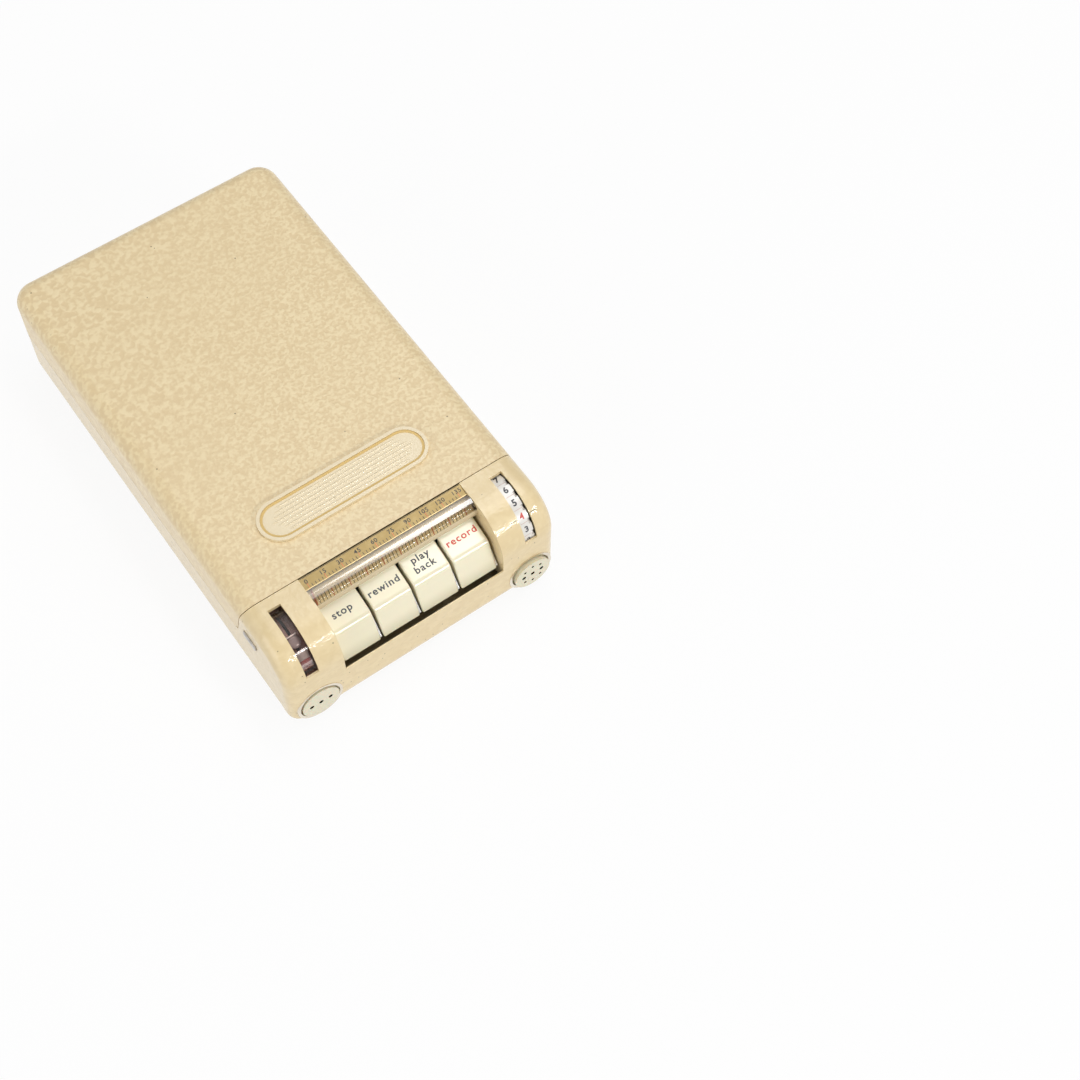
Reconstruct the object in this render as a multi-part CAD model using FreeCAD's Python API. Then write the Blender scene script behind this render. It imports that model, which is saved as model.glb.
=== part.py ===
import FreeCAD, Part
import math
import os

# Pocket wire recorder. Millimetres, +X to the right, +Y to the back, +Z up. The origin is at the
# middle of the case's underside. "Depth" is a distance behind the front face of the case.

# Case
WIDTH = 98.0
LENGTH = 170.0
HEIGHT = 41.0
WALL = 1.4
CORNER_R = 7.2          # upright corners at the back
TOP_R = 5.7             # edges round the top
BOTTOM_R = 6.7          # edges round the underside
NOSE_R = HEIGHT * 14.7 / 41     # large front curve, seen from the side
FRONT_R = 3.7           # upright edges at the front
SEAM_GAP = 0.25
SEAM_DEPTH = 23.6       # where the cover ends on top
SEAM_LEAN = 0.30        # how far the seam leans back per height, on the sides
SEAM_Z = HEIGHT - 18.5  # height of the seam along the sides
SEAM_R = 2.5
INNER_X = WIDTH / 2 - WALL
NOSE_Y = NOSE_R - LENGTH / 2
NOSE_Z = HEIGHT - NOSE_R

# Clearances
RUNNING = 0.05          # radial clearance of a shaft in its hole
APART = 0.3             # clearance between pieces that move past each other

# Cover hinge
HINGE_R = 1.7
HINGE_PIN_R = 0.8
HINGE_WIDTH = WIDTH - 26.0
HINGE_FIXED_KNUCKLE = 10.0
HINGE_Y = LENGTH / 2 - HINGE_R

# Openings of the front
KEY_OPENING = WIDTH - 40.0
LIP_Z = HEIGHT - 21.4
LIP_EDGE = 0.35         # thickness left at the top of the wall in front of the keys
LIP_BEVEL = 2.4         # height over which that wall thins
CHEEK = 1.2
CHEEK_FOOT_Z = LIP_Z - 5.6
LEDGE = 1.2
LEDGE_DEPTH = 3.0       # how far the ledge starts behind the slots' back
SLOT_WIDTH = 4.4
SLOT_X = WIDTH / 2 - 9.3
SLOT_BACK = 19.5
SLOT_FOOT_Z = HEIGHT - 13.0
SLOT_SKIN = 0.7

# Keys. A place in the key's outline is (depth, height)
KEYS = 4
KEY_PITCH = (KEY_OPENING - 0.8) / KEYS
KEY_WIDTH = KEY_PITCH - 1.1
KEY_SET_X = -0.05       # middle of the four caps
KEY_BACK = (14.9, HEIGHT - 7.4)
KEY_RIDGE = (6.2, HEIGHT - 10.0)
KEY_FOOT = (2.1, HEIGHT - 20.8)
KEY_SKIRT = 6.0         # height of the skirt at the back of a cap
KEY_RIDGE_R = 3.0
KEY_EDGE_R = 0.5
KEY_WALL = 1.3
LEVER = 0.6
LEVER_INSET = 0.4       # edge of a lever inside the outline of its cap, at the foot
LEVER_SUNK = 3.0        # the same, from the ridge to the back
SHAFT_DEPTH = SEAM_DEPTH + 4.4
SHAFT_Z = HEIGHT - 17.0
SHAFT_R = 1.5
SHAFT_HEAD = 0.8
LEVER_HUB_R = 2.6
LEVER_HUB = 5.5
LEVER_TAIL = 4.6        # reach of a lever behind the shaft
SPRING_WIRE_R = 0.3
FRAME_SHEET = 1.2
FRAME_FRONT = 4.0       # reach of the key frame before and behind the shaft
FRAME_BACK = 6.2
FRAME_SIDE = 2.6        # key frame beyond the opening, on each side
LATCH_BAR_THICK = 0.9
LATCH_BAR_HEIGHT = 4.0
LATCH_BAR_BEHIND = 4.2  # place of the bar behind and below the shaft
LATCH_BAR_BELOW = 9.0
LATCH_NOTCH = 2.4
CONTACT_BASE = 5.0
CONTACT_LEAF = 4.0

# Scale. Its places are (depth, height)
SCALE_SHEET = 0.4
SCALE_BACK = (23.2, HEIGHT - 0.2)
LENS_TOP = (19.0, HEIGHT - 0.9)
LENS_FOOT = (15.2, HEIGHT - 7.1)
POINTER_GAP = 1.0
POINTER_THICK = 0.5
BLADE_THICK = 0.24
SCREW_DEPTH = 21.4
SCREW_Z = HEIGHT - 4.4
SCREW_R = 1.0
SCREW_PITCH = 2.1
SCREW_END = 1.0
NUT = 3.0
NUT_WIDTH = 2.2
POINTER_X = 1.7 - KEY_OPENING / 2

# Volume wheel and level meter
WHEEL_R = NOSE_R - SLOT_SKIN - APART
WHEEL_WIDTH = 3.8
WHEEL_STEPS = 18
WHEEL_NOTCH_R = 1.0
WHEEL_NOTCH = 0.9
WHEEL_RIM = 2.2
WHEEL_SHAFT_R = 1.5
CONTROL_R = 8.0
CONTROL_TAG = 3.0
METER_WIDTH = 6.6
METER_SKIN = 1.2
METER_SIDE = 0.6
WINDOW_EDGE = 0.4       # window beyond the slot, on each side
DIAL_GAP = 2.4
DIAL_THICK = 0.8
NEEDLE_SHAFT_R = 0.8
NEEDLE_R = 0.3
NEEDLE_TIP = 1.6
NEEDLE_REST = 69.0      # degrees up from straight ahead
BRACKET_SHEET = 1.0
BRACKET_FOOT = 6.0
BRACKET_TOP_Z = NOSE_Z + 6.0

# Sockets
SOCKET_X = WIDTH / 2 - 9.8
SOCKET_Z = HEIGHT * 9.9 / 41
RING_R = HEIGHT * 8 / 41
RING_WALL = 1.0
RING_PROUD = 0.2
RING_DEPTH = NOSE_R * 3.4 / 14.7
RING_BOSS = 0.6
SOCKET_R = RING_R - 1.5
SOCKET_STUB_R = SOCKET_R - 0.3
SOCKET_FLANGE = 1.4
LEFT_SOCKET_PROUD = 0.6
RIGHT_SOCKET_PROUD = 1.5
SOCKET_DEPTH = RING_DEPTH + 1.6
PIN_HOLE_R = 0.75
PIN_PITCH = 3.35
SMALL_HOLE_R = 0.5
SMALL_HOLE_CIRCLE_R = SOCKET_R - 2.4
CONTACT_R = 1.0
CONTACT_LENGTH = 4.5

# Cover catches
CATCH_DEPTH = 20.2
CATCH_Z = HEIGHT - 12.1
CATCH_SLOT = 7.5
CATCH_SLOT_HEIGHT = 3.0
CATCH_SHEET = 0.6
CATCH_X = INNER_X - 1.6
CATCH_PIVOT_DEPTH = 44.0
CATCH_PIVOT_X = CATCH_X - CATCH_SHEET - 0.4
CATCH_PIN_R = 0.8
CATCH_HUB_R = 1.5
CATCH_HOOK_DEPTH = 29.5
CATCH_HOOK = 2.0
CATCH_HOOK_RISE = 3.6
CATCH_PAD_PLAY = 0.4
CATCH_PAD_PROUD = 0.6
CATCH_PAD_ROUND = 0.35
LUG = 1.2

# Batteries
TRAY_WIDTH = 2 * INNER_X - 5.2
TRAY_Z = 3.2
TRAY_WALL = 1.0
CELL_R = 7.0
CELL_LENGTH = LENGTH * 5 / 17
CELL_CAP_R = 2.6
CELL_CAP = 0.8
CELL_PITCH = 2 * CELL_R + 0.6
CELLS = int((TRAY_WIDTH - 2 * TRAY_WALL) / CELL_PITCH)
TRAY_BACK = LENGTH - 5.0
TRAY_FRONT = TRAY_BACK - CELL_LENGTH - 5.0
TRAY_HEIGHT = 2 * CELL_R + 3.0
TRAY_RIB = 2.0
ANODE_WIDTH = TRAY_WIDTH - 24.0
ANODE_LENGTH = CELL_LENGTH - 4.0
ANODE_HEIGHT = HEIGHT - 25.0
ANODE_R = 1.5
STUD_X = 10.0
STUD_R = 2.4
STUD = 1.2

# Deck
DECK_Z = HEIGHT - 20.0
DECK = 1.2
DECK_TOP = DECK_Z + DECK
DECK_WIDTH = 2 * INNER_X - 2.0
DECK_FRONT = SHAFT_DEPTH + 6.4
DECK_BACK = TRAY_FRONT - 1.0
POST_R = 2.5
POST_X = WIDTH / 2 - 10.0
POST_DEPTHS = (DECK_FRONT + 4.1, DECK_BACK - 4.5)
SCREW_HEAD_R = 2.2
SCREW_HEAD = 1.0
SCREW_CORE_R = 1.2
SCREW_LENGTH = 4.5
SCREW_SLOT = 0.5

# Spools and spindles
SPOOL_APART = 1.0       # half the gap between the two spools
SPOOL_SIDE = 3.6        # gap between a spool and the case
SPOOL_R = (INNER_X - SPOOL_SIDE - SPOOL_APART) / 2
SPOOL_X = SPOOL_R + SPOOL_APART
SPOOL_DEPTH = DECK_BACK - SPOOL_R - 2.5
SPOOL_Y = SPOOL_DEPTH - LENGTH / 2
SPOOL_HUB_R = 8.0
SPOOL_HEIGHT = 10.0
SPOOL_FLANGE = 0.8
SPOOL_FIT = 0.02
SPINDLE_R = 2.0
SPINDLE_TIP = 0.6
TURNTABLE_R = 7.0
TURNTABLE = 1.2
SPOOL_Z = DECK_TOP + APART + TURNTABLE + APART
WIRE_Z = SPOOL_Z + SPOOL_HEIGHT / 2
SUPPLY_PACK_R = SPOOL_R - 3.0
TAKE_UP_PACK_R = SPOOL_HUB_R + 2.5
PACK_EDGE = 0.8
PULLEY_R = 9.0
PULLEY_GROOVE = 1.5
PULLEY_HEIGHT = 3.0
PULLEY_Z = DECK_Z - 4.0
PULLEY_MIDDLE_Z = PULLEY_Z + PULLEY_HEIGHT / 2
BUSH_R = 3.4
BUSH_FLANGE_R = 4.4
BUSH_FLANGE = 0.4
BUSH_BELOW = 0.6

# Motor and belt
MOTOR_X = -SPOOL_X - 3.5
MOTOR_DEPTH = DECK_FRONT + 22.6
MOTOR_R = 11.0
MOTOR_EDGE = 1.0
MOTOR_TOP = PULLEY_Z - 1.6
MOTOR_SHAFT_R = 0.8
MOTOR_BORE = 6.0
MOTOR_PULLEY_R = 3.7
GOVERNOR_R = 7.0
GOVERNOR = 0.6
GOVERNOR_GAP = 0.5
BELT_R = 0.7

# Head and level wind
HEAD_DEPTH = 47.5
GUIDE_X = 8.5
GUIDE_R = 1.0
GUIDE_TOP_Z = HEIGHT - 5.5
CARRIAGE_Z = SPOOL_Z + 1.6
CARRIAGE = 2.4
CARRIAGE_WIDTH = 22.0
CARRIAGE_DEEP = 5.0
FOLLOWER_R = 0.6
HEAD_WIDTH = 8.0
HEAD_DEEP = 5.0
HEAD_HEIGHT = 5.0
HEAD_FRONT = 3.4        # reach of the head before the guide posts
HEAD_R = 1.2
WIRE_SLOT = 0.9
WIRE_SLOT_HEIGHT = 1.0
ERASE_HEAD = 0.8
ERASE_HEAD_GAP = 0.6
WIRE_R = 0.12
WIRE_CORNER = 2.0
CAM_DEPTH = HEAD_DEPTH + 9.5
CAM_R = 3.5
CAM_HEIGHT = 9.0
CAM_TILT = 12.0         # degrees
CAM_GROOVE_R = 0.8
CAM_SHAFT_R = 1.2

# Amplifier
BOARD = 1.2
BOARD_Z = 4.0
BOARD_TOP = BOARD_Z + BOARD
BOARD_X = (3.0, WIDTH / 2 - 13.5)
BOARD_DEPTHS = (DECK_FRONT + 5.6, DECK_BACK - 2.0)
BOARD_EDGE = 3.0
VALVE_R = 4.2
VALVE_LENGTH = BOARD_DEPTHS[1] - BOARD_DEPTHS[0] - 41.0
VALVE_LEAD = 1.5
CAPACITOR_R = 2.6
CAPACITOR_PITCH = 2 * CAPACITOR_R + 1.4
CAPACITOR_HEIGHT = PULLEY_Z - BOARD_TOP - 3.8
CAPACITOR_DEPTH = BOARD_DEPTHS[1] - 31.0
CAPACITOR_ROWS = 7.0    # distance between the two rows
CORE_WIDTH = 18.0
CORE_LENGTH = 12.0
CORE_HEIGHT = PULLEY_Z - BOARD_TOP - 2.8
CORE_LIMB = 3.0
CORE_WINDOW = 3.5
CORE_YOKE = 2.0
WINDING = 1.5           # winding before and behind the core

# Name plate on the cover
BADGE_DEPTH = SEAM_DEPTH + 19.9
BADGE_WIDTH = WIDTH - 38.4
BADGE_DEEP = 15.0
BADGE_PROUD = 0.9
BADGE_RIM = 1.1
BADGE_FLOOR = 0.45


def at(depth):
    """Y of a point that lies depth behind the front face."""
    return depth - LENGTH / 2


def vec(x, y, z):
    return FreeCAD.Vector(x, y, z)


def box(x0, x1, y0, y1, z0, z1):
    return Part.makeBox(x1 - x0, y1 - y0, z1 - z0, vec(x0, y0, z0))


def rod(radius, start, end):
    """Round bar from start to end."""
    run = end - start
    return Part.makeCylinder(radius, run.Length, start, run)


def upright(radius, x, y, z0, z1):
    return rod(radius, vec(x, y, z0), vec(x, y, z1))


def cross(radius, x0, x1, y, z):
    """Round bar along X."""
    return rod(radius, vec(x0, y, z), vec(x1, y, z))


def side_plate(points, x0, x1):
    """Plate between x0 and x1 with an outline of (depth, z) points."""
    corners = [vec(x0, at(d), z) for d, z in points]
    outline = Part.makePolygon(corners + corners[:1])
    return Part.Face(outline).extrude(vec(x1 - x0, 0, 0))


def turned(points, x, y):
    """Turned piece about the upright line through x, y, with a section of (radius, z) points."""
    corners = [vec(x + r, y, z) for r, z in points]
    section = Part.Face(Part.makePolygon(corners + corners[:1]))
    return section.revolve(vec(x, y, 0), vec(0, 0, 1), 360)


def fuse(shapes):
    return shapes[0].multiFuse(shapes[1:]).removeSplitter()


def group(shapes):
    return Part.makeCompound(shapes)


def mirrored(shape):
    return shape.mirror(vec(0, 0, 0), vec(1, 0, 0))


def save(name, shape):
    shape.exportStep("parts/" + name + ".step")


def coil(x, y, z0, inner_r, wire_r, turns, axis):
    """Close-wound coil as a ribbed sleeve about an axis through x, y, z0."""
    edges = []
    for turn in range(turns):
        low = turn * 2 * wire_r
        start = vec(inner_r + wire_r, 0, low)
        middle = vec(inner_r + 2 * wire_r, 0, low + wire_r)
        end = vec(inner_r + wire_r, 0, low + 2 * wire_r)
        edges.append(Part.Arc(start, middle, end).toShape())
    top = turns * 2 * wire_r
    edges.append(Part.makeLine(vec(inner_r + wire_r, 0, top), vec(inner_r, 0, top)))
    edges.append(Part.makeLine(vec(inner_r, 0, top), vec(inner_r, 0, 0)))
    edges.append(Part.makeLine(vec(inner_r, 0, 0), vec(inner_r + wire_r, 0, 0)))
    sleeve = Part.Face(Part.Wire(edges)).revolve(vec(0, 0, 0), vec(0, 0, 1), 360)
    turn_to = FreeCAD.Rotation(vec(0, 0, 1), axis)
    sleeve.Placement = FreeCAD.Placement(vec(x, y, z0), turn_to)
    return sleeve


# Case

def case_block(inset):
    """Solid block of the case's outer form, with every face moved inwards by inset."""
    half = WIDTH / 2 - inset
    front = inset - LENGTH / 2
    back = LENGTH / 2 - inset
    low = inset
    high = HEIGHT - inset
    nose = NOSE_R - inset
    middle = nose * (1 - math.sqrt(0.5))
    start = vec(-half, front, high - nose)
    end = vec(-half, front + nose, high)
    edges = [
        Part.Arc(start, vec(-half, front + middle, high - middle), end).toShape(),
        Part.makeLine(end, vec(-half, back, high)),
        Part.makeLine(vec(-half, back, high), vec(-half, back, low)),
        Part.makeLine(vec(-half, back, low), vec(-half, front, low)),
        Part.makeLine(vec(-half, front, low), start),
    ]
    block = Part.Face(Part.Wire(edges)).extrude(vec(2 * half, 0, 0))

    def radius_at(point):
        return (TOP_R if abs(point.z - high) < 0.01 else FRONT_R) - inset

    def edge_radii(edge):
        """Fillet radii at the two ends of an edge, or None where the edge is smooth already."""
        centre = edge.CenterOfMass
        on_side = abs(abs(centre.x) - half) < 0.01
        on_low = abs(centre.z - low) < 0.01
        on_high = abs(centre.z - high) < 0.01
        if edge.Curve.TypeId == "Part::GeomCircle":
            return radius_at(edge.Vertexes[0].Point), radius_at(edge.Vertexes[-1].Point)
        if on_low:
            return BOTTOM_R - inset, BOTTOM_R - inset
        if on_side and on_high or on_high and abs(centre.y - back) < 0.01:
            return TOP_R - inset, TOP_R - inset
        if on_side and abs(centre.y - front) < 0.01:
            return FRONT_R - inset, FRONT_R - inset
        if on_side and abs(centre.y - back) < 0.01:
            return CORNER_R - inset, CORNER_R - inset
        return None

    document = FreeCAD.newDocument()
    base = document.addObject("Part::Feature", "Block")
    base.Shape = block
    rounded = document.addObject("Part::Fillet", "Rounded")
    rounded.Base = base
    radii = [(number, edge_radii(edge)) for number, edge in enumerate(block.Edges, 1)]
    rounded.Edges = [(number, pair[0], pair[1]) for number, pair in radii if pair]
    document.recompute()
    solid = rounded.Shape.Solids[0].copy()
    FreeCAD.closeDocument(document.Name)
    return solid


def cover_region(grow):
    """Everything above and behind the seam, with the seam moved outwards by grow."""
    beyond = 5.0
    high = HEIGHT + beyond
    front = SEAM_DEPTH - grow - beyond * SEAM_LEAN
    low = SEAM_Z - grow
    foot = SEAM_DEPTH - grow + (HEIGHT - low) * SEAM_LEAN
    points = [(front, high), (foot, low), (LENGTH + beyond, low), (LENGTH + beyond, high)]
    region = side_plate(points, -WIDTH, WIDTH)
    corner = [e for e in region.Edges if abs(e.CenterOfMass.y - at(foot)) < 0.01
              and abs(e.CenterOfMass.z - low) < 0.01 and e.Length > WIDTH]
    return region.makeFillet(SEAM_R, corner)


def hinge_barrel(x0, x1, radius):
    return cross(radius, x0, x1, HINGE_Y, SEAM_Z)


def fixed_knuckles():
    """(x0, x1) of the three hinge knuckles that belong to the lower case."""
    half = HINGE_WIDTH / 2
    knuckle = HINGE_FIXED_KNUCKLE
    return [(-half, knuckle - half), (-knuckle / 2, knuckle / 2), (half - knuckle, half)]


def moving_knuckles():
    """(x0, x1) of the two hinge knuckles that belong to the cover."""
    fixed = fixed_knuckles()
    return [(left[1] + APART, right[0] - APART) for left, right in zip(fixed, fixed[1:])]


def slot_block(x, width):
    """Cutter for one of the two slots that follow the front curve."""
    return box(x - width / 2, x + width / 2, at(-1), at(SLOT_BACK), SLOT_FOOT_Z, HEIGHT + 1)


def lower_case(outer, inner):
    shell = outer.cut(inner).cut(cover_region(SEAM_GAP))
    half = KEY_OPENING / 2
    shell = shell.cut(box(-half, half, at(-1), at(SEAM_DEPTH + 1), LIP_Z, HEIGHT + 1))
    bevel = [(LIP_EDGE, LIP_Z + 0.1), (WALL + 0.1, LIP_Z + 0.1), (WALL + 0.1, LIP_Z - LIP_BEVEL)]
    shell = shell.cut(side_plate(bevel, -half, half))

    # Cheeks beside the keys and ledges under the front edge of the cover
    inside = outer.cut(cover_region(SEAM_GAP))
    cheek = box(half, half + CHEEK, at(WALL / 2), at(SEAM_DEPTH), CHEEK_FOOT_Z, HEIGHT)
    cheek = cheek.common(inside)
    ledge_top = HEIGHT - WALL - 0.2
    ledge_foot = ledge_top - LEDGE
    start = at(SLOT_BACK + LEDGE_DEPTH)
    ledge = box(half, INNER_X - TOP_R, start, at(SEAM_DEPTH + 2), ledge_foot, ledge_top)
    hanger = box(half, INNER_X - TOP_R, start, at(SEAM_DEPTH - APART), ledge_foot, HEIGHT)
    hanger = hanger.common(inside)
    shell = fuse([shell, cheek, mirrored(cheek), ledge, mirrored(ledge), hanger, mirrored(hanger)])

    # Slots, thinned from inside so that the wheel and the window sit close below the surface
    for x in (-SLOT_X, SLOT_X):
        shell = shell.cut(slot_block(x, SLOT_WIDTH))
        room = METER_WIDTH / 2 + APART
        shell = shell.cut(cross(NOSE_R - SLOT_SKIN, x - room, x + room, NOSE_Y, NOSE_Z))

    # Socket bosses: flat-fronted rounds in the lower corners, bored for the rings
    for x in (-SOCKET_X, SOCKET_X):
        place = vec(x, at(RING_DEPTH), SOCKET_Z)
        boss = rod(RING_R + RING_BOSS, vec(x, at(WALL / 2), SOCKET_Z), place)
        shell = shell.fuse(boss.common(outer))
        shell = shell.cut(rod(RING_R, vec(x, at(-2), SOCKET_Z), place))
        shell = shell.cut(rod(SOCKET_STUB_R, place, vec(x, at(RING_DEPTH + 2), SOCKET_Z)))

    # Side slots for the catches
    low = CATCH_Z - CATCH_SLOT_HEIGHT / 2
    start = at(CATCH_DEPTH - CATCH_SLOT / 2)
    slot = box(INNER_X - 1, WIDTH / 2 + 1, start, start + CATCH_SLOT, low, low + CATCH_SLOT_HEIGHT)
    shell = shell.cut(slot).cut(mirrored(slot))

    # Floor ribs under the battery tray and bosses under the circuit board
    pads = []
    rib_half = TRAY_WIDTH / 2 - 10.0
    for depth in (TRAY_FRONT + 8.0, TRAY_BACK - 8.0 - TRAY_RIB):
        pads.append(box(-rib_half, rib_half, at(depth), at(depth + TRAY_RIB), WALL / 2, TRAY_Z))
    for x in (BOARD_X[0] + BOARD_EDGE, BOARD_X[1] - BOARD_EDGE):
        for depth in (BOARD_DEPTHS[0] + BOARD_EDGE, BOARD_DEPTHS[1] - BOARD_EDGE):
            pads.append(upright(2.0, x, at(depth), WALL / 2, BOARD_Z))
    shell = fuse([shell] + pads)

    # Hinge: the rear wall steps down, and three knuckles stand on it
    step = HINGE_R + APART
    low = SEAM_Z - 2 * HINGE_R
    shell = shell.cut(box(-WIDTH, WIDTH, HINGE_Y - step, LENGTH, SEAM_Z - step, HEIGHT))
    for x0, x1 in fixed_knuckles():
        web = box(x0, x1, HINGE_Y - HINGE_R, HINGE_Y, low, SEAM_Z)
        foot = box(x0, x1, HINGE_Y - HINGE_R, HINGE_Y + HINGE_R / 2, low, SEAM_Z - step)
        shell = fuse([shell, hinge_barrel(x0, x1, HINGE_R), web, foot])
    return shell.cut(hinge_barrel(-WIDTH, WIDTH, HINGE_PIN_R + RUNNING))


def top_cover(outer, inner):
    shell = outer.cut(inner).common(cover_region(0))
    for x0, x1 in fixed_knuckles():
        shell = shell.cut(hinge_barrel(x0 - APART, x1 + APART, HINGE_R + APART))
    for x0, x1 in moving_knuckles():
        web = box(x0, x1, HINGE_Y, HINGE_Y + HINGE_R, SEAM_Z, SEAM_Z + 2 * HINGE_R)
        shell = fuse([shell, hinge_barrel(x0, x1, HINGE_R), web])
    low = CATCH_Z + CATCH_SLOT_HEIGHT / 2 + APART
    front = at(CATCH_HOOK_DEPTH) - CATCH_HOOK / 2
    lug = box(INNER_X - 0.5, INNER_X + WALL / 2, front, front + CATCH_HOOK, low, low + LUG)
    shell = fuse([shell, lug, mirrored(lug)])
    return shell.cut(hinge_barrel(-WIDTH, WIDTH, HINGE_PIN_R + RUNNING))


def stadium(width, deep, x, y, z0, z1):
    """Plate with round ends."""
    radius = deep / 2
    half = width / 2 - radius
    middle = box(x - half, x + half, y - radius, y + radius, z0, z1)
    ends = [upright(radius, x + side * half, y, z0, z1) for side in (-1, 1)]
    return fuse([middle] + ends)


def cover_badge():
    y = at(BADGE_DEPTH)
    top = HEIGHT + BADGE_PROUD
    plate = stadium(BADGE_WIDTH, BADGE_DEEP, 0, y, HEIGHT, top)
    field = 2 * BADGE_RIM
    recess = stadium(BADGE_WIDTH - field, BADGE_DEEP - field, 0, y, HEIGHT + BADGE_FLOOR, top + 1)
    return plate.cut(recess)


# Keys

def key_left(number):
    """Left edge of a cap, with the caps counted from 0 at the left."""
    return KEY_SET_X + (number - (KEYS - 1) / 2) * KEY_PITCH - KEY_WIDTH / 2


def inset_line(start, end, gap):
    """Line through two (depth, z) points, moved inwards (down and back) by gap."""
    run = math.hypot(end[0] - start[0], end[1] - start[1])
    side_d = -(end[1] - start[1]) / run * gap
    side_z = (end[0] - start[0]) / run * gap
    return (start[0] + side_d, start[1] + side_z), (end[0] + side_d, end[1] + side_z)


def meet(first, second):
    """Point where two lines of (depth, z) points cross."""
    (a, b), (c, d) = first
    (e, f), (g, h) = second
    scale = (a - c) * (f - h) - (b - d) * (e - g)
    one = a * d - b * c
    two = e * h - f * g
    return (one * (e - g) - (a - c) * two) / scale, (one * (f - h) - (b - d) * two) / scale


def key_inset(gap):
    """Back, ridge and foot of the key's outline, moved inwards by gap."""
    top = inset_line(KEY_BACK, KEY_RIDGE, gap)
    face = inset_line(KEY_RIDGE, KEY_FOOT, gap)
    return top[0], meet(top, face), face[1]


def key_cap(number):
    left = key_left(number)
    right = left + KEY_WIDTH
    under = (KEY_BACK[0], KEY_BACK[1] - KEY_SKIRT)
    cap = side_plate([KEY_BACK, KEY_RIDGE, KEY_FOOT, under], left, right)
    ridge = [e for e in cap.Edges if abs(e.CenterOfMass.y - at(KEY_RIDGE[0])) < 0.01
             and abs(e.CenterOfMass.z - KEY_RIDGE[1]) < 0.01]
    cap = cap.makeFillet(KEY_RIDGE_R, ridge)
    rims = []
    for edge in cap.Edges:
        centre = edge.CenterOfMass
        on_side = min(abs(centre.x - left), abs(centre.x - right)) < 0.01
        below = min(edge.Vertexes[0].Z, edge.Vertexes[-1].Z) < KEY_FOOT[1] + 0.01
        if on_side and centre.y < at(KEY_BACK[0]) - 0.01 and (not below or centre.z > KEY_FOOT[1] + 4):
            rims.append(edge)
    rims = [e for e in rims if not is_under(e, under)]
    cap = cap.makeFillet(KEY_EDGE_R, rims)
    back, ridge_point, foot = key_inset(KEY_WALL)
    lower = (under[0] + 1, under[1] - 8)
    behind = (under[0] + 1, back[1] - 0.3)
    hollow = side_plate([behind, back, ridge_point, foot, (foot[0], lower[1]), lower],
                        left + KEY_WALL, right - KEY_WALL)
    return cap.cut(hollow)


def is_under(edge, under):
    """True for the lower edge of a key's skirt."""
    ends = [edge.Vertexes[0].Point, edge.Vertexes[-1].Point]
    return any(abs(p.y - at(under[0])) < 0.01 and abs(p.z - under[1]) < 0.01 for p in ends)


def key_lever(number):
    """Steel plate on the right side of a cap, with its hub on the key shaft."""
    side = key_left(number) + KEY_WIDTH
    foot = key_inset(LEVER_INSET)[2]
    back, ridge, _ = key_inset(LEVER_SUNK)
    tail = SHAFT_DEPTH + LEVER_TAIL
    points = [
        (foot[0], foot[1] + 0.6),
        (foot[0] + 2.2, foot[1] + 0.2),
        (SHAFT_DEPTH - 1.0, SHAFT_Z - LEVER_HUB_R),
        (tail, SHAFT_Z - 3.4),
        (tail, SHAFT_Z - 1.0),
        (SHAFT_DEPTH, SHAFT_Z + LEVER_HUB_R),
        (back[0], back[1] - 1.6),
        (back[0] - 1.0, back[1] - 0.3),
        ridge,
    ]
    plate = side_plate(points, side, side + LEVER)
    hub = cross(LEVER_HUB_R, side - LEVER_HUB, side + LEVER, at(SHAFT_DEPTH), SHAFT_Z)
    bore = cross(SHAFT_R + RUNNING, side - LEVER_HUB - 1, side + LEVER + 1, at(SHAFT_DEPTH), SHAFT_Z)
    return plate.fuse(hub).cut(bore).removeSplitter()


def frame_half():
    """Half width of the key frame, measured over its cheeks."""
    return KEY_OPENING / 2 + FRAME_SIDE


def key_frame():
    half = frame_half()
    front = SHAFT_DEPTH - FRAME_FRONT
    back = SHAFT_DEPTH + FRAME_BACK
    high = SHAFT_Z + 2 * SHAFT_R
    base = box(-half, half, at(front), at(back), WALL, WALL + FRAME_SHEET)
    outline = [(front, WALL), (back, WALL), (back, SHAFT_Z - 2), (SHAFT_DEPTH + 2.5, high),
               (SHAFT_DEPTH - 2.5, high), (front, SHAFT_Z)]
    cheek = side_plate(outline, half - FRAME_SHEET, half)
    frame = fuse([base, cheek, mirrored(cheek)])
    frame = frame.cut(cross(SHAFT_R, -WIDTH, WIDTH, at(SHAFT_DEPTH), SHAFT_Z))
    return frame.cut(latch_bar_block(APART))


def latch_bar_block(grow):
    """Flat bar that holds a pressed key, or the slot for it when grown."""
    half = frame_half() + 1.4 + 10 * grow
    front = at(SHAFT_DEPTH + LATCH_BAR_BEHIND)
    low = SHAFT_Z - LATCH_BAR_BELOW
    return box(-half, half, front - grow, front + LATCH_BAR_THICK + grow, low - grow,
               low + LATCH_BAR_HEIGHT + grow)


def latch_bar():
    bar = latch_bar_block(0)
    half_height = SHAFT_Z - LATCH_BAR_BELOW + 0.6 * LATCH_BAR_HEIGHT
    for number in range(KEYS):
        x = key_left(number) + KEY_WIDTH - 3.0
        bar = bar.cut(box(x, x + LATCH_NOTCH, at(SHAFT_DEPTH), at(DECK_FRONT), half_height, SHAFT_Z))
    return bar


def key_shaft():
    half = frame_half()
    shaft = cross(SHAFT_R, -half, half, at(SHAFT_DEPTH), SHAFT_Z)
    heads = [cross(SHAFT_R + SHAFT_HEAD, x0, x1, at(SHAFT_DEPTH), SHAFT_Z)
             for x0, x1 in ((-half - SHAFT_HEAD, -half), (half, half + SHAFT_HEAD))]
    return fuse([shaft] + heads)


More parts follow.
